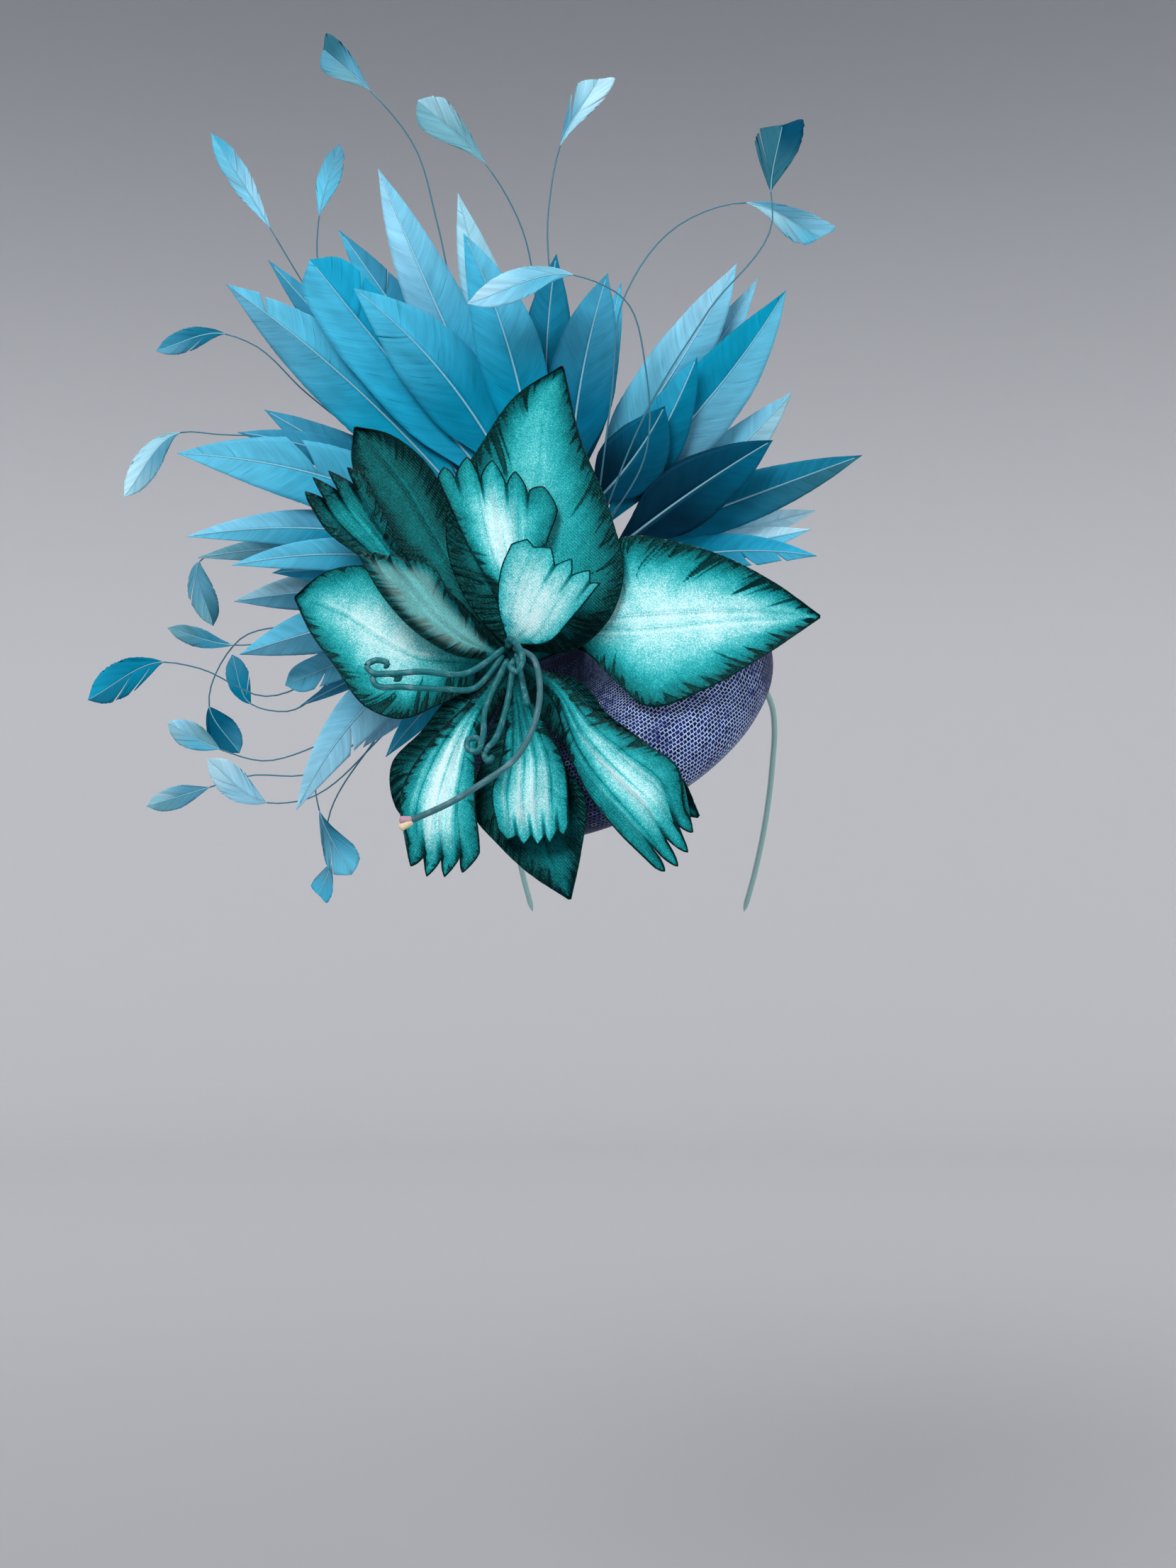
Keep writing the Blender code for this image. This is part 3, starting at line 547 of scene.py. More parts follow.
# %% [markdown]
# ## The fan of feathers
# Each feather stands on the edge of the disc behind the flower. Feathers could be scattered round
# the disc by chance, but the real ones are placed one by one, so each has a row of its own here. A
# row repeats the solid's place and adds the feather's dyes, its trim and its splits.

# %% Tables of the fan
HUB = (-51.0, 106.0)
HUB_RADIUS = 45.0
HUB_DEPTH = 4.0
HUB_THICKNESS = 16.0
GAP = 0.3
LAYER_STEP = 3.0
LAYER_SPREAD = 0.07
FAN_LEAN = 0.10
FAN_BARB_LEAN = 1.1
FAN_RAGGED = 0.012
FAN_QUILL = (0.7, 0.22)
FAN_WALL = 0.35
FAN_SEED = 11

# tip x, tip z, root angle round the disc, bow to its left, half width, layer, dyes at the root
# and tip (left side, right side), trim, splits (side, place, share left whole, opening), where
# side 1 is the left one. The dyes hold painted shade as well as dye: darker at the root, darkest
# on the feathers next to the flower, and darker on a side that is turned from the light
FEATHERS = (
    (-131, 310, 98, 2, 16, 1, "steel ice, blue pale", "lance", ()),
    (-152, 278, 107, -2, 14, 2, "petrol aqua, petrol steel", "lance", ((-1, 0.80, 0.1, 1),)),
    (-167, 262, 116, 0, 19, 0, "bright aqua, turquoise bright", "blunt", ((-1, 0.86, 0.3, 2),)),
    (-189, 262, 128, 0, 12, 2, "petrol steel", "lance", ()),
    (-211, 249, 138, -6, 19, 1, "turquoise slate, turquoise sky", "lance", ((-1, 0.90, 0.1, 4),)),
    (-144, 247, 104, -8, 20, -1, "lagoon aqua", "lance", ((1, 0.80, 0.2, 1),)),
    (-89, 297, 90, 0, 14, 2, "slate mist", "lance", ()),
    (-86, 276, 88, -6, 17, -2, "lagoon aqua, lagoon sky", "lance", ()),
    (-37, 265, 77, 4, 15, 0, "deep petrol, lagoon petrol", "lance", ()),
    (-10, 255, 63, 4, 18, -1, "deep steel", "lance", ()),
    (-3, 250, 60, 0, 9, 2, "petrol aqua", "lance", ()),
    (58, 260, 51, -3, 16, 1, "sky ice, blue pale", "lance", ()),
    (69, 252, 44, -4, 12, 2, "slate pale", "lance", ()),
    (84, 246, 41, -7, 18, 0, "lagoon turquoise, slate sky", "lance", ()),
    (87, 192, 6, -3, 14, 1, "blue pale, slate mist", "lance", ()),
    (37, 211, 28, -3, 14, -1, "lagoon blue, deep lagoon", "lance", ()),
    (20, 185, 44, -3, 17, -2, "night deep, ink deep", "lance", ()),
    (77, 167, 9, 2, 17, -2, "night ink, night deep", "lance", ()),
    (124, 159, 12, 0, 13, 0, "deep petrol, deep shadow", "lance", ()),
    (-191, 183, 149, 0, 12, 2, "petrol steel", "lance", ()),
    (-237, 160, 157, -9, 17, -1, "blue sky, aqua sky", "lance", ((-1, 0.62, 0.15, 9),)),
    (-205, 171, 148, -8, 10, 0, "deep steel", "lance", ()),
    (-174, -28, 229, -12, 13, -1, "pale ice, sky ice", "lance", ((1, 0.7, 0.2, 3),)),
)
TUFTS = (
    ("right", (
        (100, 130, 2, 0, 10, 2, "pale frost", "lance", ()),
        (97, 120, -3, 0, 9, 1, "pale frost, turquoise sky", "lance", ((-1, 0.8, 0.1, 3),)),
        (100, 106, -8, 7, 9.5, 0, "lagoon blue, lagoon aqua", "lance",
         ((-1, 0.7, 0.1, 3), (-1, 0.85, 0.2, 3))))),
    ("left_upper", (
        (-232, 116, 171, -8, 10, 0, "turquoise sky, steel pale", "lance", ()),
        (-208, 122, 168, -4, 9, 1, "blue sky, steel slate", "lance", ()),
        (-226, 105, 176, -6, 9, 2, "steel sea_grey", "lance", ()),
        (-208, 101, 182, -6, 9, -2, "blue sky, aqua sky", "lance", ()),
        (-187, 97, 188, -3, 9, -1, "petrol blue, blue aqua", "lance", ()))),
    ("left_lower", (
        (-207, 82, 196, -3, 12, 0, "deep slate, petrol mist", "lance", ()),
        (-204, 54, 208, -3, 14, -1, "petrol slate, petrol sky", "lance", ()),
        (-180, 38, 214, 0, 9, 1, "slate sky", "blunt", ((1, 0.7, 0.1, 4), (1, 0.85, 0.1, 3))),
        (-172, 27, 220, 0, 6, 2, "deep steel", "lance", ()))),
    ("bottom", (
        (-139, 5, 240, -3, 9, 1, "sky ice", "lance", ()),
        (-127, 0, 248, -3, 8, 0, "turquoise blue", "lance", ()))),
)
print("small feathers in tufts:", sum(len(rows) for _, rows in TUFTS))


# %% Make the fan
def disc_edge(angle, depth, out):
    """Where a point just off the disc's edge shows on the seen plane."""
    reach = HUB_RADIUS + out
    spot = (HUB[0] + reach * cos(radians(angle)), depth, HUB[1] + reach * sin(radians(angle)))
    return unseen(spot)[::2]


def fan_feather(sheets, row, rng):
    """Depth = disc + layer * (step + spread * distance from the root) + lean * that distance."""
    tip_x, tip_z, angle, bow, half, layer, dyes, shape, splits = row
    root = disc_edge(angle, HUB_DEPTH + layer * LAYER_STEP, 2 * GAP)
    tip = np.array((tip_x, tip_z), float)
    line = quill_points(root, tip, bow)
    length = np.linalg.norm(tip - root)

    def depth(station):
        out = station * length
        return HUB_DEPTH + layer * (LAYER_STEP + LAYER_SPREAD * out) + FAN_LEAN * out

    add_feather(sheets, line, depth, half, shape, FAN_BARB_LEAN, splits, FAN_RAGGED, dyes, FAN_QUILL, rng)


def make_fan():
    rng = np.random.default_rng(FAN_SEED)
    for number, row in enumerate(FEATHERS, 1):
        sheets = Sheets()
        fan_feather(sheets, row, rng)
        name = f"feather_{number:02d}"
        sheets.build("trimmed_" + name, (VANE, QUILL), (name,), FAN_WALL)
    for name, rows in TUFTS:
        sheets = Sheets()
        for row in rows:
            fan_feather(sheets, row, rng)
        sheets.build("tuft_" + name, (VANE, QUILL), ("feather_tuft_" + name,), FAN_WALL)
    print("fan:", len(FEATHERS), "feathers and", len(TUFTS), "tufts")


make_fan()

# %% [markdown]
# ## The sprays
# A stripped feather is a bare stem with a small tuft of barbs left at its end. It could be bent
# from a whole feather with a modifier, but its route loops tightly and would squash the barbs. So
# the stem is a smooth thin tube on the solid's route, and a small feather grows on its last part.

# %% Table of the sprays
# name, binding x, z and side of the disc (1 behind, -1 in front), then its stems: points of the
# stem, end of its tip, half width of the tip, depth half way and at the tip, trim, dyes, splits
SPRAYS = (
    ("upper_left", -68, 122, 1, (
        (((-85, 200), (-100, 282), (-112, 322), (-135, 351)), (-160, 373), 9, 52, 40,
         "cut_right", "sea_grey slate, slate shadow", ()),
        (((-130, 190), (-178, 262), (-188, 279)), (-219, 329), 6, 80, 50,
         "leaf", "pale sky, ice aqua", ((-1, 0.5, 0.1, 2), (1, 0.6, 0.1, 2), (-1, 0.75, 0.1, 2))),
        (((-125, 200), (-163, 262), (-162, 285)), (-151, 323), 6, 80, 70,
         "leaf", "sky slate", ((-1, 0.8, 0.1, 2), (1, 0.7, 0.2, 1))),
        (((-130, 162), (-169, 192), (-198, 218), (-212, 223)), (-248, 214), 6, 56, 20,
         "leaf", "petrol slate, petrol steel", ((1, 0.6, 0.1, 2),)),
        (((-150, 165), (-215, 170), (-235, 171)), (-265, 137), 7, 64, 46,
         "leaf", "slate mist, mist frost", ()))),
    ("top", -45, 128, 1, (
        (((-46, 220), (-57, 283), (-74, 312)), (-110, 346), 10, 52, 30,
         "square", "sea_grey sea_grey, sea_grey mist", ((-1, 0.9, 0.3, 1),)),
        (((-36, 200), (-41, 290), (-35, 322)), (-15, 357), 8, 56, 60,
         "cut_right", "slate mist, mist frost", ((1, 0.72, 0.0, 5), (-1, 0.9, 0.2, 2))))),
    ("front", -18, 112, -1, (
        (((10, 160), (10, 205), (-1, 241), (-28, 254)), (-84, 239), 8, -30, -40,
         "leaf", "sky ice, pale frost", ()),
        (((12, 185), (43, 235), (77, 285), (76, 298)), (82, 333), 12, -36, -30,
         "cut_right", "shadow shadow, shadow ink", ((1, 0.85, 0.2, 2),)),
        (((-8, 190), (-1, 243), (27, 280), (63, 292)), (102, 274), 9, -34, 10,
         "cut_left", "slate pale, mist sky", ((-1, 0.85, 0.2, 2), (1, 0.95, 0.3, 2))))),
    ("left", -84, 100, 1, (
        (((-150, 100), (-200, 112), (-225, 103)), (-218, 69), 7, 74, 60,
         "leaf", "slate shadow, slate sea_grey", ((-1, 0.6, 0.1, 2),)),
        (((-150, 70), (-190, 60), (-207, 59)), (-242, 68), 5, 62, 50,
         "leaf", "steel sea_grey", ()),
        (((-150, 50), (-190, 32), (-226, 47), (-244, 50)), (-284, 30), 9, 56, 24,
         "leaf", "lagoon petrol, lagoon bright", ((1, 0.55, 0.1, 4), (1, 0.75, 0.1, 2))),
        (((-145, 52), (-180, 24), (-198, 28)), (-208, 54), 6, 50, 44,
         "leaf", "lagoon steel", ((-1, 0.6, 0.1, 2),)))),
    ("lower_left", -80, 84, 1, (
        (((-150, 70), (-205, 61), (-220, 27)), (-204, 2), 8, 64, 56,
         "leaf", "deep steel, deep petrol", ()),
        (((-130, 30), (-168, 4), (-191, -2), (-214, 4)), (-242, 18), 7, 64, 44,
         "leaf", "sky mist, sea_grey ice", ()),
        (((-130, 10), (-172, -23), (-190, -24)), (-221, -1), 8, 62, 30,
         "leaf", "ice frost", ((1, 0.8, 0.1, 1),)),
        (((-130, 20), (-168, -9), (-200, -10), (-220, -16)), (-253, -26), 6, 68, 60,
         "leaf", "slate sea_grey, slate mist", ((-1, 0.8, 0.1, 2),)))),
    ("bottom", -72, 72, 1, (
        (((-140, 20), (-164, -17), (-162, -28)), (-145, -62), 9, 36, 30,
         "square", "steel sky, slate sky", ((-1, 0.85, 0.1, 2),)),
        (((-132, 10), (-158, -40), (-156, -55)), (-162, -73), 6, 40, 40,
         "cut_left", "slate aqua", ()))),
)
BINDING_RADIUS = 4.0
SPRAY_BARB_LEAN = 2.0
SPRAY_RAGGED = 0.05
STEM_QUILL = (0.42, 0.28)
TIP_QUILL = (0.28, 0.12)
SPRAY_WALL = 0.25
SPRAY_SEED = 23
print("stems in the sprays:", sum(len(stems) for *_, stems in SPRAYS))


# %% Make the sprays
def ball_grid(middle, radii, rows=13, columns=20):
    """A ball, rows from pole to pole: middle + (sin a cos b, sin a sin b, cos a) * radii."""
    a = np.linspace(0.02, pi - 0.02, rows)[:, None]
    b = np.linspace(0, 2 * pi, columns, endpoint=False)[None, :]
    unit = np.stack([np.sin(a) * np.cos(b), np.sin(a) * np.sin(b), np.cos(a) + 0 * b], axis=-1)
    return np.asarray(middle, float) + unit * np.asarray(radii, float)


def spray_stem(sheets, start, row, rng):
    """Depth = (1-u)^2 * start + 2u(1-u) * middle + u^2 * tip, with u from 0 to 1 along the stem."""
    stem, tip, half, middle_depth, tip_depth, shape, dyes, splits = row
    points = np.array([start[::2], *stem, tip], float)
    line = curve_through(points, 200)
    tip_start = np.linalg.norm(line - points[-2], axis=1).argmin() / (len(line) - 1)

    def depth(u):
        return (1 - u) ** 2 * start[1] + 2 * u * (1 - u) * middle_depth + u**2 * tip_depth

    def tip_depth_at(station):
        return depth(tip_start + (1 - tip_start) * station)

    blade = at(line, np.linspace(tip_start, 1.0, 60))
    stem_colour = DYES["ink"] * 0.6 + DYES["sea_grey"] * 0.4
    add_quill(sheets, line, depth, *STEM_QUILL, stem_colour, 0.0, tip_start)
    add_feather(
        sheets, blade, tip_depth_at, half, shape,
        SPRAY_BARB_LEAN, splits, SPRAY_RAGGED, dyes, TIP_QUILL, rng,
    )


def make_sprays():
    rng = np.random.default_rng(SPRAY_SEED)
    for name, x, z, side, stems in SPRAYS:
        y = HUB_DEPTH + side * (HUB_THICKNESS / 2 + GAP + BINDING_RADIUS)
        sheets = Sheets()
        for row in stems:
            spray_stem(sheets, (x, y, z), row, rng)
        ball = ball_grid(seen((x, y, z)), (BINDING_RADIUS,) * 3)
        sheets.add(ball, slot=1, closed=True, dye=DYES["ink"], barb=np.zeros(2))
        sheets.build("stripped_" + name, (WISP, QUILL), ("spray_" + name,), SPRAY_WALL)
    print("sprays:", len(SPRAYS))


make_sprays()

# %% [markdown]
# ## The silk finish
# The petals are stiffened satin, pressed with a hot iron and dipped in dye. The dye runs from
# nearly white in the middle to teal, and to black along the cut edge. Dark strokes run in from the
# edge where the iron crimped it, partly dye and partly painted shade in the pleats, and pressed
# grooves run lengthwise, with painted shade in their valleys and painted highlight beside them.
# The strokes could be painted on each petal as a picture. Here each point carries its tone, its
# distance from the edge and its place along it instead, and the finish draws the strokes from
# those, so they stay sharp.

# %% Silk finish
SILK_TONES = (
    (0.00, tuple(dye("DDF3F4"))),
    (0.14, tuple(dye("B4E3E6"))),
    (0.30, tuple(dye("5CBEC2"))),
    (0.45, tuple(dye("219AA0"))),
    (0.62, tuple(dye("0B7075"))),
    (0.78, tuple(dye("084C50"))),
    (0.92, tuple(dye("04232A"))),
    (1.00, tuple(dye("020B0F"))),
)
WASHED = (*dye("86A8A4"), 1.0)
SHORT_STROKE = 8.0
LONG_STROKE = 25.0
CLOUD_SCALE = 90.0
GRAIN_SCALE = 900.0
GLINT_SCALE = 1700.0
TWILL = (3600.0, 0.0, 3600.0)


def silk_finish():
    """Ramp of tone + stain + strokes + grooves + creases + cut edge - ridges - lit sides - grain; the
    grooves' and creases' dark and part of the strokes are painted shade, the ridges and lit sides painted
    highlight.
    """
    finish = Finish("pressed_silk", {"Roughness": 0.4})
    finish.shine(0.5, "38C8C4")
    along, edge = finish.uv("rim")
    rib, up = finish.uv("rib")
    tone = finish.attribute("tone")
    crimp = finish.attribute("crimp")
    pleat = finish.attribute("pleat")
    # Crimp strokes: fine and broad ones, in bundles, that taper away from the edge. Partly dark dye,
    # partly painted shade that follows the pleats' valleys; the ridges between are a painted highlight
    slant = along + edge * 0.8
    comb = finish.noise(finish.point(slant * 0.34, edge * 0.02), 1.0, 2.0, 0.5) - pleat * 0.08
    bold = finish.noise(finish.point(slant * 0.15, edge * 0.01, 6.0), 1.0, 1.0, 0.5) - pleat * 0.05
    bundle = finish.noise(finish.point(slant * 0.07, 7.0), 1.0, 1.0, 0.5)
    reach = bundle.rise(0.32, 0.66, SHORT_STROKE, LONG_STROKE) * crimp + 0.5
    taper = edge / reach
    fine = (comb - taper * 0.24).rise(0.44, 0.56) * 0.6
    broad = (bold - taper * 0.24).rise(0.43, 0.52)
    stroke = fine.most(broad) * crimp.rise(0.0, 0.4)
    wedge = (finish.noise(finish.point(slant * 0.11, 3.0), 1.0, 1.0, 0.5) - edge * 0.013).rise(0.50, 0.58)
    ridge = (0.47 - comb - taper * 0.3).rise(0.0, 0.12) * crimp.rise(0.0, 0.4)
    stain = taper.rise(0.0, 1.5, 1.0, 0.0) * crimp * 0.16 + wedge * crimp * 0.22
    # Pressed grooves: a dark line in a soft valley, with a lit ridge beside it. The line and the
    # valley's dark are painted shade, the lit ridge a painted highlight
    span = finish.attribute("span")
    aside = ((rib + 0.5).fraction() - 0.5) * span
    worn = finish.noise(finish.point(rib.rise(0.0, 9.0, 0.0, 90.0), up * 3.0), 1.0, 2.0, 0.6).rise(0.35, 0.6)
    pressed = finish.attribute("press") * up.rise(0.05, 0.3) * up.rise(1.0, 0.75)
    line = aside.size().rise(0.2, 0.7, 1.0, 0.0) * pressed * worn
    valley = aside.size().rise(0.4, 2.4, 1.0, 0.0) * pressed
    lit = (aside - 2.6).size().rise(0.2, 1.5, 1.0, 0.0) * pressed
    # Creases that run in from the notches, darkened with painted shade, and the dark cut edge
    tooth, back = finish.uv("tooth")
    notch = ((tooth + 0.5).fraction() - 0.5).size() * finish.attribute("gap")
    crease = notch.rise(0.2, 1.5, 1.0, 0.0) * back.rise(1.0, 15.0, 1.0, 0.0)
    nibble = finish.noise(finish.point(along * 0.9, 1.0), 1.0, 2.0, 0.7)
    cut = (edge + nibble * 1.2).rise(0.9, 1.5, 1.0, 0.0)
    # The cloth itself: uneven dye, grain and a diagonal twill, with fine glints that are a painted
    # highlight of the satin's sparkle
    place = finish.node("TexCoord", None, None, 3)
    cloud = finish.noise(place, CLOUD_SCALE, 4.0, 0.6)
    grain = finish.noise(place, GRAIN_SCALE, 2.0, 0.6)
    glint = finish.noise(place, GLINT_SCALE, 1.0, 0.5)
    total = tone + stain + stroke * 0.56 - ridge * 0.16 + line * 0.3 + valley * 0.12 - lit * 0.12
    total = total + crease * 0.42 + cut * 0.8 + (cloud - 0.5) * 0.30
    total = total - (glint - 0.5) * 0.55 - (grain - 0.5) * 0.25
    ramp = finish.node("ValToRGB", {"stops": SILK_TONES}, {0: total})
    colour = finish.mix(finish.attribute("wash"), ramp, WASHED)
    twill = finish.node("VectorMath", {"operation": "DOT_PRODUCT"}, {0: place, 1: TWILL}, 1)
    weft = (twill + grain * 2.0).sine()
    height = weft * 0.10 + grain * 0.6 - stroke * 1.1 + ridge * 0.5 - valley * 1.4 + lit * 0.5 - crease * 1.2
    return finish.surface(colour, 0.30 + grain * 0.24, height, 0.6, 0.0006)


SILK = silk_finish()
print("finish:", SILK.name)

# %% [markdown]
# ## One petal
# A petal is a flat piece of silk that is cut out, dyed and pressed. It could be simulated as cloth,
# but stiffened silk keeps the shape of its iron, so a formula gives that shape at once. A petal is
# a grid between its left and right edges, the same as the solid's. One parameter runs from the
# root to the end and the other across. The end is cut into fingers, the edges are crimped, and
# grooves are pressed along it.

# %% Tables of the flower
FLOWER = (-59.0, 50.0)
FLOWER_DEPTH = -80.0
FLOWER_SWING = -0.20
FLOWER_TIP_BACK = 0.30
POST_FRONT = 16.5
ROOT_RADIUS = 6.0
ROOT_HALF_WIDTH = 2.2
PETAL_WALL = 0.45
FLOWER_SEED = 5

# name, direction of its root, layer, how far its middle, tip and edges stand off its layer,
# then the points of its left and right edges, and how far a petal's cut end bulges in the middle
SEPALS = (
    ("top", 85, 0, -6, -6, -5,
     ((-84, 82), (-95, 112), (-92, 140), (-78, 163), (-58, 191), (-34.6, 206)),
     ((-26, 57), (-9, 73), (-2, 92), (-9, 130), (-24, 167), (-33.4, 206))),
    ("right", 20, 5, -12, 20, -3,
     ((-22, 98), (-4, 115), (32, 112), (78, 92), (102, 74.6)),
     ((-24, 56), (-8, 42), (10, 27), (42, 36), (72, 53), (102, 73.4))),
    ("left", 185, 5, 0, 10, -4,
     ((-98, 28), (-120, 20), (-137, 26), (-154, 48), (-167, 66), (-175, 83.4)),
     ((-100, 80), (-120, 96), (-139, 101), (-160, 97), (-175, 84.6))),
    ("upper_left", 132, 9, 0, 4, -4,
     ((-105, 90), (-130, 125), (-145, 156), (-143.6, 174)),
     ((-80, 105), (-94, 136), (-103, 152), (-127, 171), (-142.4, 174))),
    ("bottom", 270, 5, 0, 8, -3,
     ((-36, 0), (-22, -21), (-24, -50), (-29.4, -75)),
     ((-76, 0), (-81, -30), (-68, -46), (-52, -61), (-30.6, -75))),
    ("lower_left", 232, 9, 0, 4, -3,
     ((-80, 5), (-95, -25), (-111.4, -38)),
     ((-95, 30), (-108, 14), (-124, -4), (-122, -26), (-112.6, -38))),
    ("lower_right", 312, 1, -2, -2, -3,
     ((-22, 38), (-12, 25), (12, 6), (30, -12), (38.4, -31)),
     ((-44, 20), (-14, -10), (14, -28), (37.6, -32))),
)
PETALS = (
    ("top", 98, -6, -4, -8, -4,
     ((-68, 80), (-84, 112), (-100, 150)),
     ((-46, 85), (-42, 115), (-37, 139)), 7),
    ("front", 80, -14, -8, -22, -6,
     ((-68, 80), (-66, 100), (-60, 114)),
     ((-42, 60), (-28, 74), (-14, 91)), 3),
    ("upper_left", 150, -1, 0, 0, -3,
     ((-112, 80), (-140, 105), (-158, 119), (-167, 133)),
     ((-90, 84), (-112, 101), (-128, 128), (-138, 149)), 5),
    ("left", 165, -9, -8, -14, -5,
     ((-88, 53), (-110, 65), (-128, 84), (-140, 105)),
     ((-80, 72), (-93, 86), (-102, 101)), 4),
    ("lower_left", 238, -7, -4, -6, 3,
     ((-76, 19), (-80, -21), (-80, -58)),
     ((-84, 28), (-102, 10), (-120, -25), (-116, -48)), 6),
    ("bottom", 272, -4, -3, -4, 3,
     ((-42, 15), (-34, 0), (-30, -38)),
     ((-66, 0), (-71, -20), (-68, -40)), 5),
    ("lower_right", 325, -6, -6, -6, 3,
     ((-36, 42), (-18, 25), (12, 6), (26, -4), (32, -30)),
     ((-40, 31), (-30, 0), (-22, -17), (-6, -38), (14, -58)), 5),
)

# For each petal: tone of its middle, how much darker its edges are, how much painted shade darkens
# its root between the petals, how much lighter its bright patch is, where that is (along, across)
# and its half sizes, how far it is washed out, the grooves' places across, how hard they are pressed,
# how high its ridges swell, and the strength of the crimp strokes at the root, middle and tip of its
# left and its right edge
LOOKS = {
    "sepal_top": (0.50, 0.26, 0.40, 0.18, 0.62, 0.45, 0.3, 0.3, 0.0, (0.5,), 0.15, 0.4,
                  (1.5, 1.5, 0.3), (1.5, 0.9, 0.2)),
    "sepal_right": (0.42, 0.34, 0.15, 0.34, 0.54, 0.5, 0.46, 0.34, 0.0, (0.46, 0.54), 0.5, 0.4,
                    (0.8, 1.0, 0.7), (0.3, 0.6, 0.7)),
    "sepal_left": (0.44, 0.30, 0.30, 0.38, 0.55, 0.5, 0.30, 0.32, 0.0, (0.5,), 0.4, 0.4,
                   (1.0, 0.8, 0.2), (0.9, 0.35, 0.2)),
    "sepal_upper_left": (0.83, 0.16, 0.20, 0.10, 0.5, 0.4, 0.3, 0.25, 0.0, (0.5,), 0.5, 0.6,
                         (0.6, 0.6, 0.3), (1.0, 1.0, 0.4)),
    "sepal_bottom": (0.80, 0.14, 0.20, 0.14, 0.85, 0.5, 0.15, 0.3, 0.0, (0.5,), 0.3, 0.5,
                     (1.0, 0.6, 0.3), (1.0, 0.8, 0.4)),
    "sepal_lower_left": (0.72, 0.14, 0.10, 0.05, 0.6, 0.5, 0.3, 0.3, 0.0, (0.5,), 0.3, 0.5,
                         (1.0, 1.0, 0.6), (1.0, 1.0, 0.6)),
    "sepal_lower_right": (0.66, 0.16, 0.10, 0.05, 0.6, 0.5, 0.3, 0.3, 0.0, (0.5,), 0.3, 0.5,
                          (1.0, 1.0, 0.6), (1.0, 1.0, 0.6)),
    "petal_top": (0.41, 0.34, 0.40, 0.40, 0.62, 0.45, 0.40, 0.30, 0.0, (0.3, 0.5, 0.68), 0.35, 0.9,
                  (1.0, 0.3, 0.1), (0.5, 0.3, 0.1)),
    "petal_front": (0.20, 0.26, 0.10, 0.16, 0.4, 0.5, 0.4, 0.4, 0.1, (0.24, 0.5, 0.74), 0.22, 0.6,
                    (0.2, 0.1, 0.05), (0.2, 0.1, 0.05)),
    "petal_upper_left": (0.70, 0.20, 0.25, 0.20, 0.7, 0.5, 0.3, 0.2, 0.0, (0.26, 0.5, 0.74), 0.5, 0.9,
                         (0.5, 0.7, 0.3), (0.8, 0.7, 0.3)),
    "petal_left": (0.50, 0.34, 0.15, 0.20, 0.5, 0.55, 0.5, 0.2, 0.45, (0.3, 0.6), 0.0, 0.7,
                   (1.0, 1.0, 0.4), (0.6, 0.4, 0.2)),
    "petal_lower_left": (0.42, 0.34, 0.35, 0.46, 0.62, 0.5, 0.42, 0.30, 0.0, (0.25, 0.5, 0.75), 0.7, 1.2,
                         (0.3, 0.2, 0.2), (0.5, 0.4, 0.2)),
    "petal_bottom": (0.42, 0.30, 0.35, 0.36, 0.80, 0.55, 0.30, 0.48, 0.0, (0.22, 0.42, 0.6, 0.8), 0.7, 1.1,
                     (0.3, 0.3, 0.1), (0.3, 0.3, 0.1)),
    "petal_lower_right": (0.42, 0.32, 0.35, 0.32, 0.66, 0.5, 0.34, 0.26, 0.0, (0.25, 0.5, 0.75), 0.7, 1.3,
                          (0.4, 0.5, 0.1), (0.5, 0.2, 0.1)),
}

# Fingers of each toothed end: place across and how far it stands out, notch after finger
FINGERS = {
    "top": ((0.0, -3), (0.07, 2), (0.15, -6), (0.27, 6), (0.36, -8), (0.48, 5), (0.58, -9), (0.67, 2),
            (0.76, -8), (0.90, 0), (1.0, -9)),
    "front": ((0.0, -2), (0.12, 3), (0.22, 0), (0.38, 3), (0.5, -5), (0.62, 3), (0.70, -5), (0.84, 3),
              (0.90, -3), (1.0, 1)),
    "upper_left": ((0.0, 0), (0.1, 6), (0.24, -6), (0.36, 8), (0.5, -8), (0.62, 7), (0.76, -7), (0.88, 6),
                   (1.0, 0)),
    "left": ((0.0, 2), (0.10, 5), (0.20, 0), (0.32, 3), (0.44, -1), (0.58, 3), (0.66, -3), (0.80, 2),
             (1.0, -2)),
    "lower_left": ((0.0, -8), (0.14, 2), (0.24, -9), (0.36, 4), (0.48, -7), (0.60, 6), (0.72, -5), (0.86, 6),
                   (1.0, -3)),
    "bottom": ((0.0, -3), (0.10, 2), (0.17, -3), (0.30, 3), (0.36, -2), (0.47, 3), (0.54, -3), (0.66, 3),
               (0.74, -2), (0.88, 2), (1.0, -3)),
    "lower_right": ((0.0, -2), (0.12, 6), (0.26, -12), (0.40, 7), (0.54, -13), (0.68, 7), (0.8, -9),
                    (0.9, 5), (1.0, -2)),
}
# Where creases run in from the notches
NOTCHES = {
    "top": (0.15, 0.36, 0.58, 0.76),
    "front": (0.5, 0.70, 0.90),
    "upper_left": (0.24, 0.5, 0.76),
    "left": (0.20, 0.44, 0.66),
    "lower_left": (0.24, 0.48, 0.72),
    "bottom": (0.17, 0.36, 0.54, 0.74),
    "lower_right": (0.26, 0.54, 0.8),
}
# How round each finger's tip is, from a plain point at 0 to a quarter circle at 1
ROUNDNESS = {
    "top": 0.55,
    "front": 0.2,
    "upper_left": 0.35,
    "left": 0.25,
    "lower_left": 0.5,
    "bottom": 0.25,
    "lower_right": 0.8,
}
print("petals:", len(SEPALS), "outer and", len(PETALS), "inner")


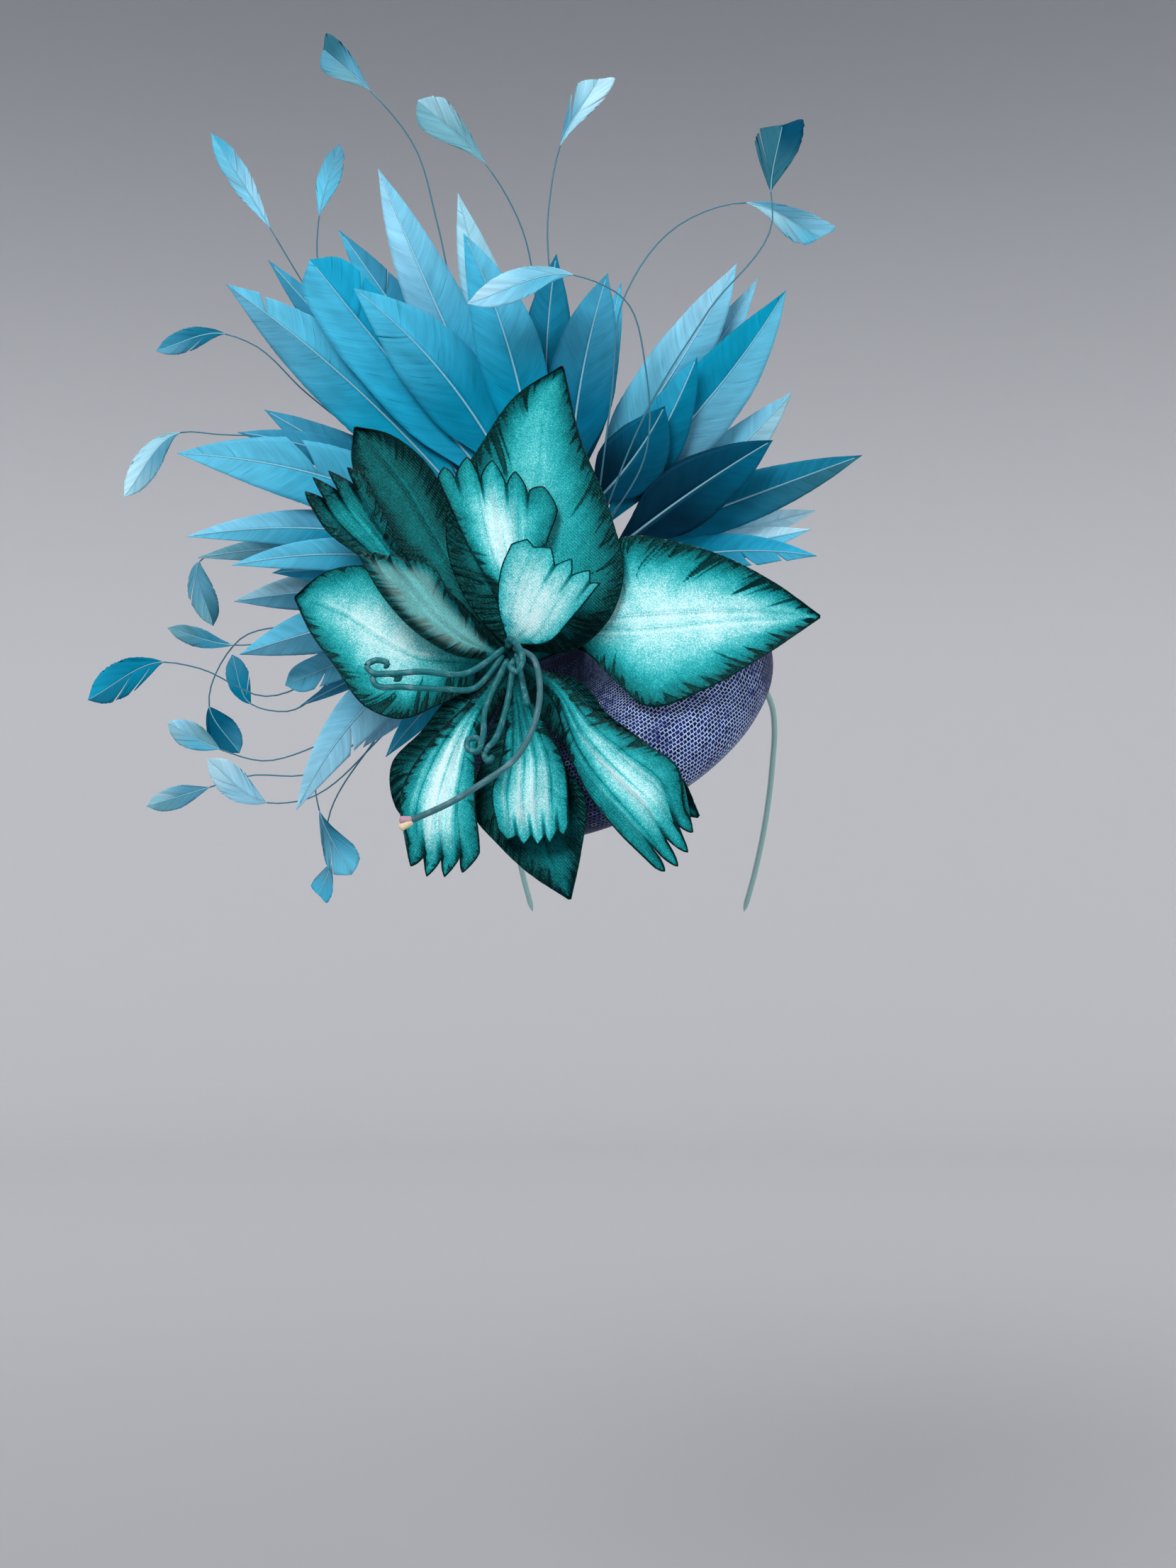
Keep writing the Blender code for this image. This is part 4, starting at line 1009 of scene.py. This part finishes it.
# %% Petal shape
PETAL_ROWS = 112
PETAL_COLUMNS = 76
RIM_SAMPLES = 420
RIM_SKIPPED = 8
RIM_OFFSET = 400.0


def flower_middle(layer):
    """Where the leaning stalk's axis passes a petal layer."""
    lean = 1.0 + FLOWER_SWING**2 + FLOWER_TIP_BACK**2
    back = layer / lean
    return FLOWER[0] - FLOWER_SWING * back, FLOWER_DEPTH + back, FLOWER[1] - FLOWER_TIP_BACK * back


def finger_line(name, across):
    """The cut end: from each notch it rises steeply, then bends over to the finger's tip."""
    roundness = ROUNDNESS[name]
    places, heights = np.array(FINGERS[name]).T
    i = np.clip(np.searchsorted(places, across, side="right") - 1, 0, len(places) - 2)
    share = (across - places[i]) / (places[i + 1] - places[i])
    rising = heights[i + 1] > heights[i]
    s = np.where(rising, share, 1 - share)
    low = np.where(rising, heights[i], heights[i + 1])
    high = np.where(rising, heights[i + 1], heights[i])
    bend = roundness * np.sqrt(1 - (1 - s) ** 2) + (1 - roundness) * s
    return low + (high - low) * bend


def petal_edges(row, rows):
    """The root's middle, and curves from both sides of the root through the edges' points."""
    angle, layer, left, right = row[1], row[2], row[6], row[7]
    x0, _, z0 = flower_middle(layer)
    way = radians(angle)
    reach = ROOT_RADIUS / hypot(1.0, FLOWER_SWING * cos(way) + FLOWER_TIP_BACK * sin(way))
    root = np.array((x0 + reach * cos(way), z0 + reach * sin(way)))
    aside = ROOT_HALF_WIDTH * np.array((-sin(way), cos(way)))
    if hypot(*(root + aside - left[0])) > hypot(*(root - aside - left[0])):
        aside = -aside
    return root, curve_through([root + aside, *left], rows), curve_through([root - aside, *right], rows)


def rim_marks(flat):
    """Each point's distance from the cut edge, and how far along the edge its nearest place is."""
    half = flat.shape[1] // 2
    left = np.concatenate([flat[:, 0], flat[-1, 1:half]])
    right = np.concatenate([flat[:, -1], flat[-1, :half - 1:-1]])
    places, alongs = [], []
    for offset, line in ((0.0, left), (RIM_OFFSET, right)):
        dense = at(line, np.linspace(0, 1, RIM_SAMPLES))
        steps = np.linalg.norm(np.diff(dense, axis=0), axis=1)
        places.append(dense[RIM_SKIPPED:])
        alongs.append(offset + np.concatenate([[0.0], np.cumsum(steps)])[RIM_SKIPPED:])
    places, alongs = np.concatenate(places), np.concatenate(alongs)
    spots = flat.reshape(-1, 2)
    gap = np.hypot(spots[:, None, 0] - places[None, :, 0], spots[:, None, 1] - places[None, :, 1])
    nearest = gap.argmin(axis=1)
    edge = gap.min(axis=1).reshape(flat.shape[:2])
    return edge, alongs[nearest].reshape(flat.shape[:2])


def count_marks(across, places, width):
    """A number that is whole at each mark across the petal, and how wide one step of it is."""
    knots = np.array([0.0, *places, 1.0])
    numbers = np.arange(len(knots), dtype=float)
    numbers[0] = 0.5
    numbers[-1] -= 0.5
    part = np.clip(np.searchsorted(knots, across, side="right") - 1, 0, len(knots) - 2)
    step = (np.diff(knots) / np.diff(numbers))[part]
    count = np.interp(across, knots, numbers)
    return np.broadcast_to(count, (len(width), len(across))), width * step


def crimp_wave(along, rng):
    """Uneven pleats: a sum of sines whose phase wanders, between -1 and 1."""
    phase = rng.uniform(0, 6.28, 4)
    return (
        np.sin(along * 1.25 + 1.3 * np.sin(along * 0.21 + phase[0]) + phase[1]) * 0.6
        + np.sin(along * 2.1 + 1.1 * np.sin(along * 0.33 + phase[2]) + phase[3]) * 0.4
    )


def add_petal(sheets, row, look, toothed, rng):
    """depth = flower plane + layer + middle * 4u(1-u) + tip * u^2 + edges * (2v-1)^2 sqrt(u(2-u))."""
    name, _, layer, middle_off, tip_off, edge_off = row[:6]
    (tone, rim_dark, painted_root_shade, patch, patch_u, patch_v, half_u, half_v,
     wash, grooves, press, ridge, left_strokes, right_strokes) = look
    root, left, right = petal_edges(row, PETAL_ROWS)
    u = np.linspace(0.0, 1.0, PETAL_ROWS)[:, None]
    v = np.linspace(0.0, 1.0, PETAL_COLUMNS)[None, :]
    flat = left[:, None] * (1 - v)[..., None] + right[:, None] * v[..., None]
    outward = (left[-1] + right[-1]) / 2 - root
    outward /= np.linalg.norm(outward)
    plain = flat.copy()
    if toothed:
        end = row[8] * 4 * v * (1 - v) + finger_line(name, v[0])[None, :]
        flat = flat + (end * smooth(0.45, 1.0, u) ** 2)[..., None] * outward
    edge, along = rim_marks(flat)
    x, z = plain[..., 0], plain[..., 1]
    depth = FLOWER_DEPTH + FLOWER_SWING * (x - FLOWER[0]) + FLOWER_TIP_BACK * (z - FLOWER[1]) + layer
    depth = depth + middle_off * 4 * u * (1 - u) + tip_off * u**2
    depth = depth + edge_off * (2 * v - 1) ** 2 * np.sqrt(u * (2 - u))
    width = np.linalg.norm(right - left, axis=1)[:, None]
    fade = smooth(0.0, 0.2, u)
    on_left, on_right = (np.interp(u, (0.1, 0.5, 0.9), side) for side in (left_strokes, right_strokes))
    strokes = np.where(v < 0.5, on_left, on_right) * (1 - smooth(0.45, 0.85, edge / (width / 2 + 0.1)))
    pleat = crimp_wave(along + 0.8 * edge, rng)
    depth = depth - 1.1 * strokes * pleat * np.exp(-edge / 6.0) * fade
    rib, span = count_marks(v[0], grooves, width)
    tooth, gap = count_marks(v[0], NOTCHES[name] if toothed else (), width)
    back = (1 - u) * np.linalg.norm((left[-1] + right[-1]) / 2 - root)
    swell = -np.cos(2 * pi * rib) * smooth(3.0, 9.0, edge) * fade
    depth = depth + ridge * swell * smooth(8, 24, width)
    depth = depth + 0.5 * wander(rng, PETAL_ROWS, 7)[:, None] * (v - 0.5) * fade
    room = width / 2
    # The root's darkening is painted shade, where the petals meet in the flower's middle
    shade = tone + rim_dark * np.exp(-edge / (0.30 * room + 2.0)) + painted_root_shade * np.exp(-u * 6.0)
    spot = ((u - patch_u) / half_u) ** 2 + ((v - patch_v) / half_v) ** 2
    shade = shade - patch * np.exp(-spot)
    place = np.stack([flat[..., 0], depth, flat[..., 1]], axis=-1)
    sheets.add(
        seen(place),
        rim=np.stack([along, edge], axis=-1),
        rib=np.stack([rib, np.broadcast_to(u, edge.shape)], axis=-1),
        tone=shade[..., None],
        crimp=(strokes * smooth(1.0, 6.0, room) * fade)[..., None],
        pleat=pleat[..., None],
        span=span[..., None],
        tooth=np.stack([tooth, back + 0 * tooth], axis=-1),
        gap=gap[..., None],
        press=np.full(edge.shape + (1,), press),
        wash=(wash * smooth(2.0, 8.0, edge))[..., None],
    )


# %% Make the flower
def make_flower():
    rng = np.random.default_rng(FLOWER_SEED)
    for kind, rows in (("sepal", SEPALS), ("petal", PETALS)):
        for row in rows:
            name = f"{kind}_{row[0]}"
            sheets = Sheets()
            add_petal(sheets, row, LOOKS[name], kind == "petal", rng)
            sheets.build("silk_" + name, (SILK,), (name,), PETAL_WALL)
    print("flower:", len(SEPALS) + len(PETALS), "petals")


make_flower()

# %% [markdown]
# ## Stamens and pistil
# The stamens are waxed cord with curled ends, and the pistil is a longer cord with a forked one.
# A curve object with a round bevel would do, but a tube worked out from its route keeps a UV map
# along the cord for the streaks. The tubes follow the solids' routes on smooth curves.

# %% Cord finish
def cord_finish():
    finish = Finish("waxed_cord", {"Roughness": 0.45})
    finish.shine(0.4, "9CD8DC")
    along, round_it = finish.uv("barb")
    streak = finish.noise(finish.point(along * 0.25, round_it * 1.6), 1.0, 3.0, 0.6)
    base = finish.attribute("dye", 0)
    # Lighter grey-blue streaks along the cord: a painted highlight of the wax, placed at random
    colour = finish.mix(streak.rise(0.50, 0.72, 0.0, 0.5), base, (*dye("7FA3AE"), 1.0))
    return finish.surface(colour, None, streak, 0.5, 0.0006)


CORD = cord_finish()
STAMEN_DYE = dye("166066")
PISTIL_DYE = dye("3C666E")
# Each of the pistil's two ends: dye, and how high its tip stands
FORK = (("B58A9C", 1.6), ("E4CFA6", -2.6))
# name, direction of its root, then its route: x, z and how far it stands off the stalk's face
CORDS = (
    ("stamen_1", 150, (
        (-85, 44, 12), (-110, 45, 19), (-124, 44, 20), (-134, 44.5, 21), (-137, 48, 21),
        (-132, 51, 20), (-126, 49, 19), (-128, 46.5, 18))),
    ("stamen_2", 201, (
        (-81, 36, 7), (-98, 36, 14), (-118, 37, 18), (-133, 39, 20), (-134, 42, 20), (-127, 44, 18),
        (-119.5, 42, 17), (-123, 40, 16))),
    ("stamen_3", 252, (
        (-75, 23, 10), (-76, 10, 16), (-79, 3, 18), (-83.5, 4, 18), (-83.5, 9, 17), (-79, 10, 16),
        (-77, 7, 15))),
    ("stamen_4", 303, ((-64, 24, 9), (-69, 10, 13), (-75, 1, 15), (-73, -2, 16), (-70, 1, 16))),
    ("stamen_5", 354, ((-55, 40, 10), (-52, 27, 16))),
    ("stamen_6", 98, (
        (-62, 62, 9), (-57, 58, 16), (-55, 50, 20), (-58, 45, 20), (-61.5, 48, 19), (-59, 51, 18))),
    ("pistil", 45, (
        (-50, 53, 8), (-46, 40, 14), (-48, 20, 20), (-60, -2, 27),
        (-75, -13, 28), (-93, -24, 27), (-115, -34, 24))),
)
CORD_RADIUS = 1.6
FORK_RADIUS = 2.1
CORD_RING = 4.2
CORD_START = 1.6
CORD_STRAIGHT = 3.6
CORD_STEPS = 90
FORK_STEPS = 16
CORD_SIDES = 12
CORD_ACROSS = (0.23, 0.31, 0.92)


def add_cord(sheets, path, radius, colour):
    """A round cord with a closed, rounded end: its radius falls to nothing at both ends."""
    count = len(path)
    reach = np.linspace(0, 1, count) * count
    ends = np.sqrt(np.clip(np.minimum(reach, count - reach) / 2.0, 0.0, 1.0))
    grid = tube_grid(path, radius * np.maximum(ends, 0.02), CORD_SIDES, CORD_ACROSS)
    run = np.linspace(0, 1, count) * 60
    turn = np.cos(np.linspace(0, 2 * pi, CORD_SIDES, endpoint=False))
    barb = np.stack(np.broadcast_arrays(run[:, None], turn[None, :]), axis=-1)
    sheets.add(grid, closed=True, dye=colour, barb=barb)


def make_cords():
    x0, y0, z0 = flower_middle(-POST_FRONT)
    for name, angle, route in CORDS:
        way = radians(angle)
        root = (x0 + CORD_RING * cos(way), z0 + CORD_RING * sin(way))
        points = np.array([(*root, CORD_START), (*root, CORD_STRAIGHT), *route])
        x, z, off = points.T
        depth = y0 + FLOWER_SWING * (x - x0) + FLOWER_TIP_BACK * (z - z0) - off
        path = seen(curve_through(np.stack([x, depth, z], axis=1), CORD_STEPS))
        sheets = Sheets()
        add_cord(sheets, path, CORD_RADIUS, PISTIL_DYE if name == "pistil" else STAMEN_DYE)
        if name == "pistil":
            end = path[-1]
            for colour, lift in FORK:
                start = end + np.array((2.0, 0.0, 0.6))
                tip = np.linspace(start, end + np.array((-4.6, -0.8, lift - 0.8)), FORK_STEPS)
                add_cord(sheets, tip, FORK_RADIUS, dye(colour))
        sheets.build("cord_" + name, (CORD,), (name,))
    print("cords:", len(CORDS))


make_cords()

# %% [markdown]
# ## The straw cap
# The cap is one puffed shell of open-weave straw, blocked while damp. Real threads could be laid
# over a block one by one, but thousands of them would be heavy, and they lie flat, so the finish
# draws them. The shape is a profile turned about a leaning axis and stretched to an egg-shaped
# plan. The weave follows a UV map in millimetres: round the cap, and up its side.

# %% Cap table
CAP_MIDDLE = np.array((4.6, -7.8, 12.7))
CAP_AXIS = np.array((-0.471, -0.452, 0.757))
CAP_HALF_RIGHT = 89.0
CAP_HALF_LEFT = 97.0
CAP_HALF_DEPTH = 94.0
CAP_WALL = 1.6
CAP_PROFILE = (
    (0.0, 0.90),
    (5.0, 0.96),
    (13.0, 0.996),
    (23.0, 1.0),
    (34.0, 0.975),
    (46.0, 0.86),
    (54.0, 0.55),
    (57.0, 0.0),
)
cap_up = CAP_AXIS / np.linalg.norm(CAP_AXIS)
cap_back = np.array((0.0, 1.0, 0.0)) - cap_up * cap_up[1]
cap_back /= np.linalg.norm(cap_back)
cap_side = np.cross(cap_back, cap_up)
print("the cap's axis:", cap_up.round(3))


# %% Straw finish
# Where round the cap, in millimetres, the painted highlight on the straw is brightest, and the
# weave's two layers: length of a thread and distance between rows
PAINTED_GLOW_PLACE = 478.0
TOP_THREADS = (2.5, 2.0)
UNDER_THREADS = (2.1, 1.7)


def weave(finish, around, up, pitch, row_pitch, seed):
    """A brick pattern of threads: lines between rows, and one short thread to each brick."""
    row = up / row_pitch
    number = finish.node("Math", {"operation": "FLOOR"}, {0: row})
    across = around / pitch + number * 0.5
    piece = finish.node("Math", {"operation": "FLOOR"}, {0: across})
    lengthwise = (row.fraction() - 0.5).size().rise(0.34, 0.42)
    upright = (across.fraction() - 0.5).size().rise(0.36, 0.43)
    chance = finish.noise(finish.point(piece * 0.37, number * 0.61, seed), 3.1, 1.0, 0.5)
    return lengthwise.most(upright), chance


def straw_finish():
    finish = Finish("woven_straw", {"Roughness": 0.5})
    finish.shine(0.2, "90A6F0")
    around, up = finish.uv("weave")
    drift = finish.noise(finish.point(around * 0.04, up * 0.04), 1.0, 2.0, 0.5)
    wobble = finish.noise(finish.point(around * 0.35, up * 0.35, 4.0), 1.0, 2.0, 0.5)
    bare = around
    around = around + drift * 8.0 + wobble * 0.9
    up = up + drift * 5.0 + wobble * 0.9
    top, chance = weave(finish, around, up, *TOP_THREADS, 1.0)
    under, other = weave(finish, around + up * 0.3, up + 0.8 - around * 0.06, *UNDER_THREADS, 5.0)
    broad = finish.noise(finish.point(around * 0.03, up * 0.05, 8.0), 1.0, 2.0, 0.5)
    # Paler threads round one place of the cap: a painted highlight where the lamps shine on the straw, over
    # a random mottle of the straw's own tone
    painted_glow_and_mottle = (bare - PAINTED_GLOW_PLACE).size().rise(10.0, 80.0, 1.0, 0.0) * 0.38 + (broad - 0.5) * 0.45
    seen_through = under * (other + painted_glow_and_mottle).rise(0.42, 0.75)
    dark = finish.mix(seen_through, (*dye("050826"), 1.0), (*dye("1C318C"), 1.0))
    pale = top * (chance + painted_glow_and_mottle).rise(0.52, 0.95, 0.10, 1.0)
    colour = finish.mix(pale, dark, (*dye("C2D8F8"), 1.0))
    return finish.surface(colour, None, top + under * 0.4, 0.8, 0.0006)


STRAW = straw_finish()
print("finish:", STRAW.name)

# %% Cap shape
CAP_ROWS = 90
CAP_COLUMNS = 240
LEAST_SHARE = 0.001


def cap_points(turn, height, share):
    """middle + up * h + share * (side * cos a * half width + back * sin a * half depth)."""
    half = np.where(np.cos(turn) > 0, CAP_HALF_RIGHT, CAP_HALF_LEFT)
    out = (share * np.cos(turn) * half)[..., None] * cap_side
    out = out + (share * np.sin(turn) * CAP_HALF_DEPTH)[..., None] * cap_back
    return CAP_MIDDLE + out + np.asarray(height)[..., None] * cap_up


def make_cap():
    """The profile's heights and shares of the half width, at even turns round the axis."""
    size = (CAP_ROWS, CAP_COLUMNS)
    scaled = np.array(CAP_PROFILE) * (1.0, CAP_HALF_DEPTH)
    profile = curve_through(scaled, CAP_ROWS)
    profile[-1] = scaled[-1]
    turn = np.linspace(0, 2 * pi, CAP_COLUMNS, endpoint=False)[None, :]
    height = np.broadcast_to(profile[:, :1], size)
    share = np.broadcast_to(profile[:, 1:] / CAP_HALF_DEPTH, size)
    share = np.maximum(share, LEAST_SHARE)
    grid = cap_points(np.broadcast_to(turn, size), height, share)
    up = np.concatenate([[0.0], np.cumsum(np.linalg.norm(np.diff(profile, axis=0), axis=1))])
    threads = np.stack(np.broadcast_arrays(turn * CAP_HALF_DEPTH, up[:, None]), axis=-1)
    sheets = Sheets()
    sheets.add(grid, closed=True, weave=threads)
    cap = sheets.build("woven_cap", (STRAW,), ("sinamay_base", "sinamay_crown"))
    wall = cap.modifiers.new("wall", "SOLIDIFY")
    wall.thickness = CAP_WALL * MM
    wall.offset = -1.0
    print("cap:", CAP_COLUMNS, "by", CAP_ROWS)


make_cap()

# %% [markdown]
# ## The headband
# The headband is a narrow flat band covered in satin ribbon. It could be a curve with a bevel, but
# its section has rounded edges and stands square to the arch all the way, so a section with
# rounded corners is carried along the arch as one grid.

# %% Headband
def satin_finish():
    finish = Finish("ribbon_satin", {"Roughness": 0.32, "Sheen Weight": 0.2})
    along, across = finish.uv("ribbon")
    rib = finish.noise(finish.point(along * 3.0, across * 0.2), 1.0, 2.0, 0.6)
    colour = finish.mix(rib, (*dye("7FB0AE"), 1.0), (*dye("A9CFCB"), 1.0))
    return finish.surface(colour, 0.28 + rib * 0.15, rib, 0.3, 0.0003)


SATIN = satin_finish()
BAND_MIDDLE = (8.0, 18.0)
BAND_HALF_WIDTH = 76.0
BAND_HALF_HEIGHT = 54.0
BAND_ARM = 105.0
BAND_ARM_PINCH = 15.0
BAND_TOP_DEPTH = 4.0
BAND_LEAN = 0.34
BAND_THICKNESS = 3.0
BAND_WIDTH = 9.0
BAND_STEPS = 150
BAND_SIDES = 24
BAND_ROUNDNESS = 0.45
RIBBON_STEP = 2.5


def rounded(value):
    """sign(value) * |value|^roundness: a circle's part turned into a rounded rectangle's."""
    return np.sign(value) * np.abs(value) ** BAND_ROUNDNESS


def make_headband():
    """Half an ellipse between two arms that pinch in; a rounded section is carried along it."""
    half_turn = np.linspace(0.0, pi, 21)
    down = np.arange(1, 6) / 5
    arm_x = BAND_HALF_WIDTH - BAND_ARM_PINCH * down**2
    arm_z = BAND_MIDDLE[1] - BAND_ARM * down
    x = BAND_MIDDLE[0] + np.concatenate([arm_x[::-1], BAND_HALF_WIDTH * np.cos(half_turn), -arm_x])
    z = np.concatenate([arm_z[::-1], BAND_MIDDLE[1] + BAND_HALF_HEIGHT * np.sin(half_turn), arm_z])
    path = curve_through(np.stack([x, z], axis=1), BAND_STEPS)
    run = np.gradient(path, axis=0)
    run /= np.linalg.norm(run, axis=1)[:, None]
    inwards = np.stack([-run[:, 1], run[:, 0]], axis=1)
    turn = np.linspace(0, 2 * pi, BAND_SIDES, endpoint=False)
    wide = rounded(np.cos(turn)) * BAND_WIDTH / 2
    thick = (1 + rounded(np.sin(turn))) * BAND_THICKNESS / 2
    step = np.arange(BAND_STEPS)
    ends = np.sqrt(np.clip(np.minimum(step, step[::-1]) / 2.0, 0.0, 1.0))[:, None]
    inset = BAND_THICKNESS / 2 + (thick - BAND_THICKNESS / 2) * ends
    spot = path[:, None] + inwards[:, None] * inset[..., None]
    depth = BAND_TOP_DEPTH + BAND_LEAN * (BAND_MIDDLE[1] + BAND_HALF_HEIGHT - path[:, 1])
    y = depth[:, None] + wide * np.maximum(ends, 0.02)
    grid = np.stack([spot[..., 0], y, spot[..., 1]], axis=-1)
    ribbon = np.stack(np.broadcast_arrays(step[:, None] * RIBBON_STEP, wide[None, :]), axis=-1)
    sheets = Sheets()
    sheets.add(grid[:, ::-1], closed=True, ribbon=ribbon[:, ::-1])
    sheets.build("satin_headband", (SATIN,), ("headband",))
    print("headband:", BAND_STEPS, "by", BAND_SIDES)


make_headband()

# %% [markdown]
# ## The feather pad and the flower's stalk
# Both are hidden from the front. The pad is a felt-covered disc whose foot follows the cap, and the
# stalk is a taped wire. They could be rebuilt as grids, but the solids already have their whole
# shape, so they only get a cloth finish.

# %% Pad and stalk
def felt_finish(name, low, high):
    finish = Finish(name, {"Roughness": 0.85})
    finish.shine(0.2, "406080")
    place = finish.node("TexCoord", None, None, 3)
    fuzz = finish.noise(place, 900.0, 4.0, 0.7)
    colour = finish.mix(fuzz, (*dye(low), 1.0), (*dye(high), 1.0))
    return finish.surface(colour, None, fuzz, 0.6, 0.0006)


COVERS = {
    "feather_mount": felt_finish("navy_felt", "0B1238", "1C2A60"),
    # The stalk's near-black teal is partly the tape's colour and partly painted shade for the dark at the
    # flower's middle
    "flower_post": felt_finish("tape_and_painted_shade", "04181A", "0A3638"),
}
for label, cover in COVERS.items():
    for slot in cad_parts[label].material_slots:
        slot.material = cover
print("covers:", *COVERS)

# %% [markdown]
# ## Floor, backdrop and light
# The piece hangs as it is worn, above a pale floor that sweeps up to a grey wall. A flat sheet
# behind it would do for one camera, but the piece is looked at from all sides, so the profile of
# floor and wall is turned all the way round. Large soft lights stand for a window and its room.

# %% Stage
STAGE_FLOOR = -560.0
STAGE_RADIUS = 3600.0
STAGE_COVE = 900.0
STAGE_TOP = 3200.0
STAGE_SIDES = 96


def make_stage():
    """A bowl: a flat floor whose profile curves up into an upright wall, turned all the way round."""
    flat = np.linspace(1.0, STAGE_RADIUS - STAGE_COVE, 8)
    bend = np.linspace(0, pi / 2, 14)[1:]
    out = np.concatenate([flat, STAGE_RADIUS - STAGE_COVE + STAGE_COVE * np.sin(bend), [STAGE_RADIUS]])
    up = np.concatenate([0 * flat, STAGE_COVE - STAGE_COVE * np.cos(bend), [STAGE_TOP]]) + STAGE_FLOOR
    turn = np.linspace(0, 2 * pi, STAGE_SIDES, endpoint=False)
    grid = np.stack(np.broadcast_arrays(
        out[:, None] * np.cos(turn), out[:, None] * np.sin(turn), up[:, None]), axis=-1)
    mesh = bpy.data.meshes.new("backdrop")
    faces = grid_faces(len(out), STAGE_SIDES, 0, True)[:, ::-1]
    mesh.from_pydata((grid.reshape(-1, 3) * MM).tolist(), [], faces.tolist())
    mesh.shade_smooth()
    finish = Finish("backdrop", {"Roughness": 0.9})
    spot = finish.node("TexCoord", None, None, 3)
    x, y, height = (finish.node("SeparateXYZ", None, {0: spot}, axis) for axis in range(3))
    away = finish.node("VectorMath", {"operation": "LENGTH"}, {0: finish.point(x, y)}, 1)
    # Painted light and shade on the grey: the floor lightens away from the middle and the wall darkens
    # towards the top, as the light falls off
    floor_painted_falloff = finish.mix(away.rise(0.2, 2.9), (*dye("9FA0A5"), 1.0), (*dye("D9DADE"), 1.0))
    tone = finish.mix(height.rise(0.1, 1.6), floor_painted_falloff, (*dye("8F9198"), 1.0))
    mesh.materials.append(finish.surface(tone))
    backdrop = bpy.data.objects.new("backdrop", mesh)
    bpy.context.scene.collection.objects.link(backdrop)


make_stage()
print("stage:", STAGE_SIDES, "sides")

# %% Lights
# name, place in metres, size in metres and power in watts
LIGHTS = (
    ("window", (-0.8, -1.9, 1.5), 1.0, 44),
    ("fill", (1.6, -1.4, 0.3), 1.4, 13),
    ("above", (0.2, 0.7, 1.9), 1.2, 22),
)
PIECE_MIDDLE = (-0.03, -0.04, 0.10)
WALL_LIGHTS = 4
WALL_LIGHT_RING = 1.3
WALL_LIGHT_HEIGHT = 2.2
WALL_LIGHT_SIZE = 1.2
WALL_LIGHT_POWER = 18
WALL_RING = 3.6
WALL_AIM_HEIGHT = 0.2
ROOM_COLOUR = (0.86, 0.88, 0.90, 1.0)
ROOM_STRENGTH = 0.25


def add_light(name, place, size, power, target=PIECE_MIDDLE):
    light = bpy.data.lights.new(name, "AREA")
    light.size = size
    light.energy = power
    item = bpy.data.objects.new(name, light)
    item.location = place
    aim = Vector(target) - Vector(place)
    item.rotation_euler = aim.to_track_quat("-Z", "Y").to_euler()
    bpy.context.scene.collection.objects.link(item)


for row in LIGHTS:
    add_light(*row)
for number in range(WALL_LIGHTS):
    way = pi / 4 + number * pi / 2
    place = (WALL_LIGHT_RING * cos(way), WALL_LIGHT_RING * sin(way), WALL_LIGHT_HEIGHT)
    target = (WALL_RING * cos(way), WALL_RING * sin(way), WALL_AIM_HEIGHT)
    add_light(f"wall_{number}", place, WALL_LIGHT_SIZE, WALL_LIGHT_POWER, target)
world = bpy.data.worlds.new("room")
bpy.context.scene.world = world
world.use_nodes = True
world.node_tree.nodes["Background"].inputs[0].default_value = ROOM_COLOUR
world.node_tree.nodes["Background"].inputs[1].default_value = ROOM_STRENGTH
print("lights:", len(LIGHTS) + WALL_LIGHTS)

# %% The end
print("the end")
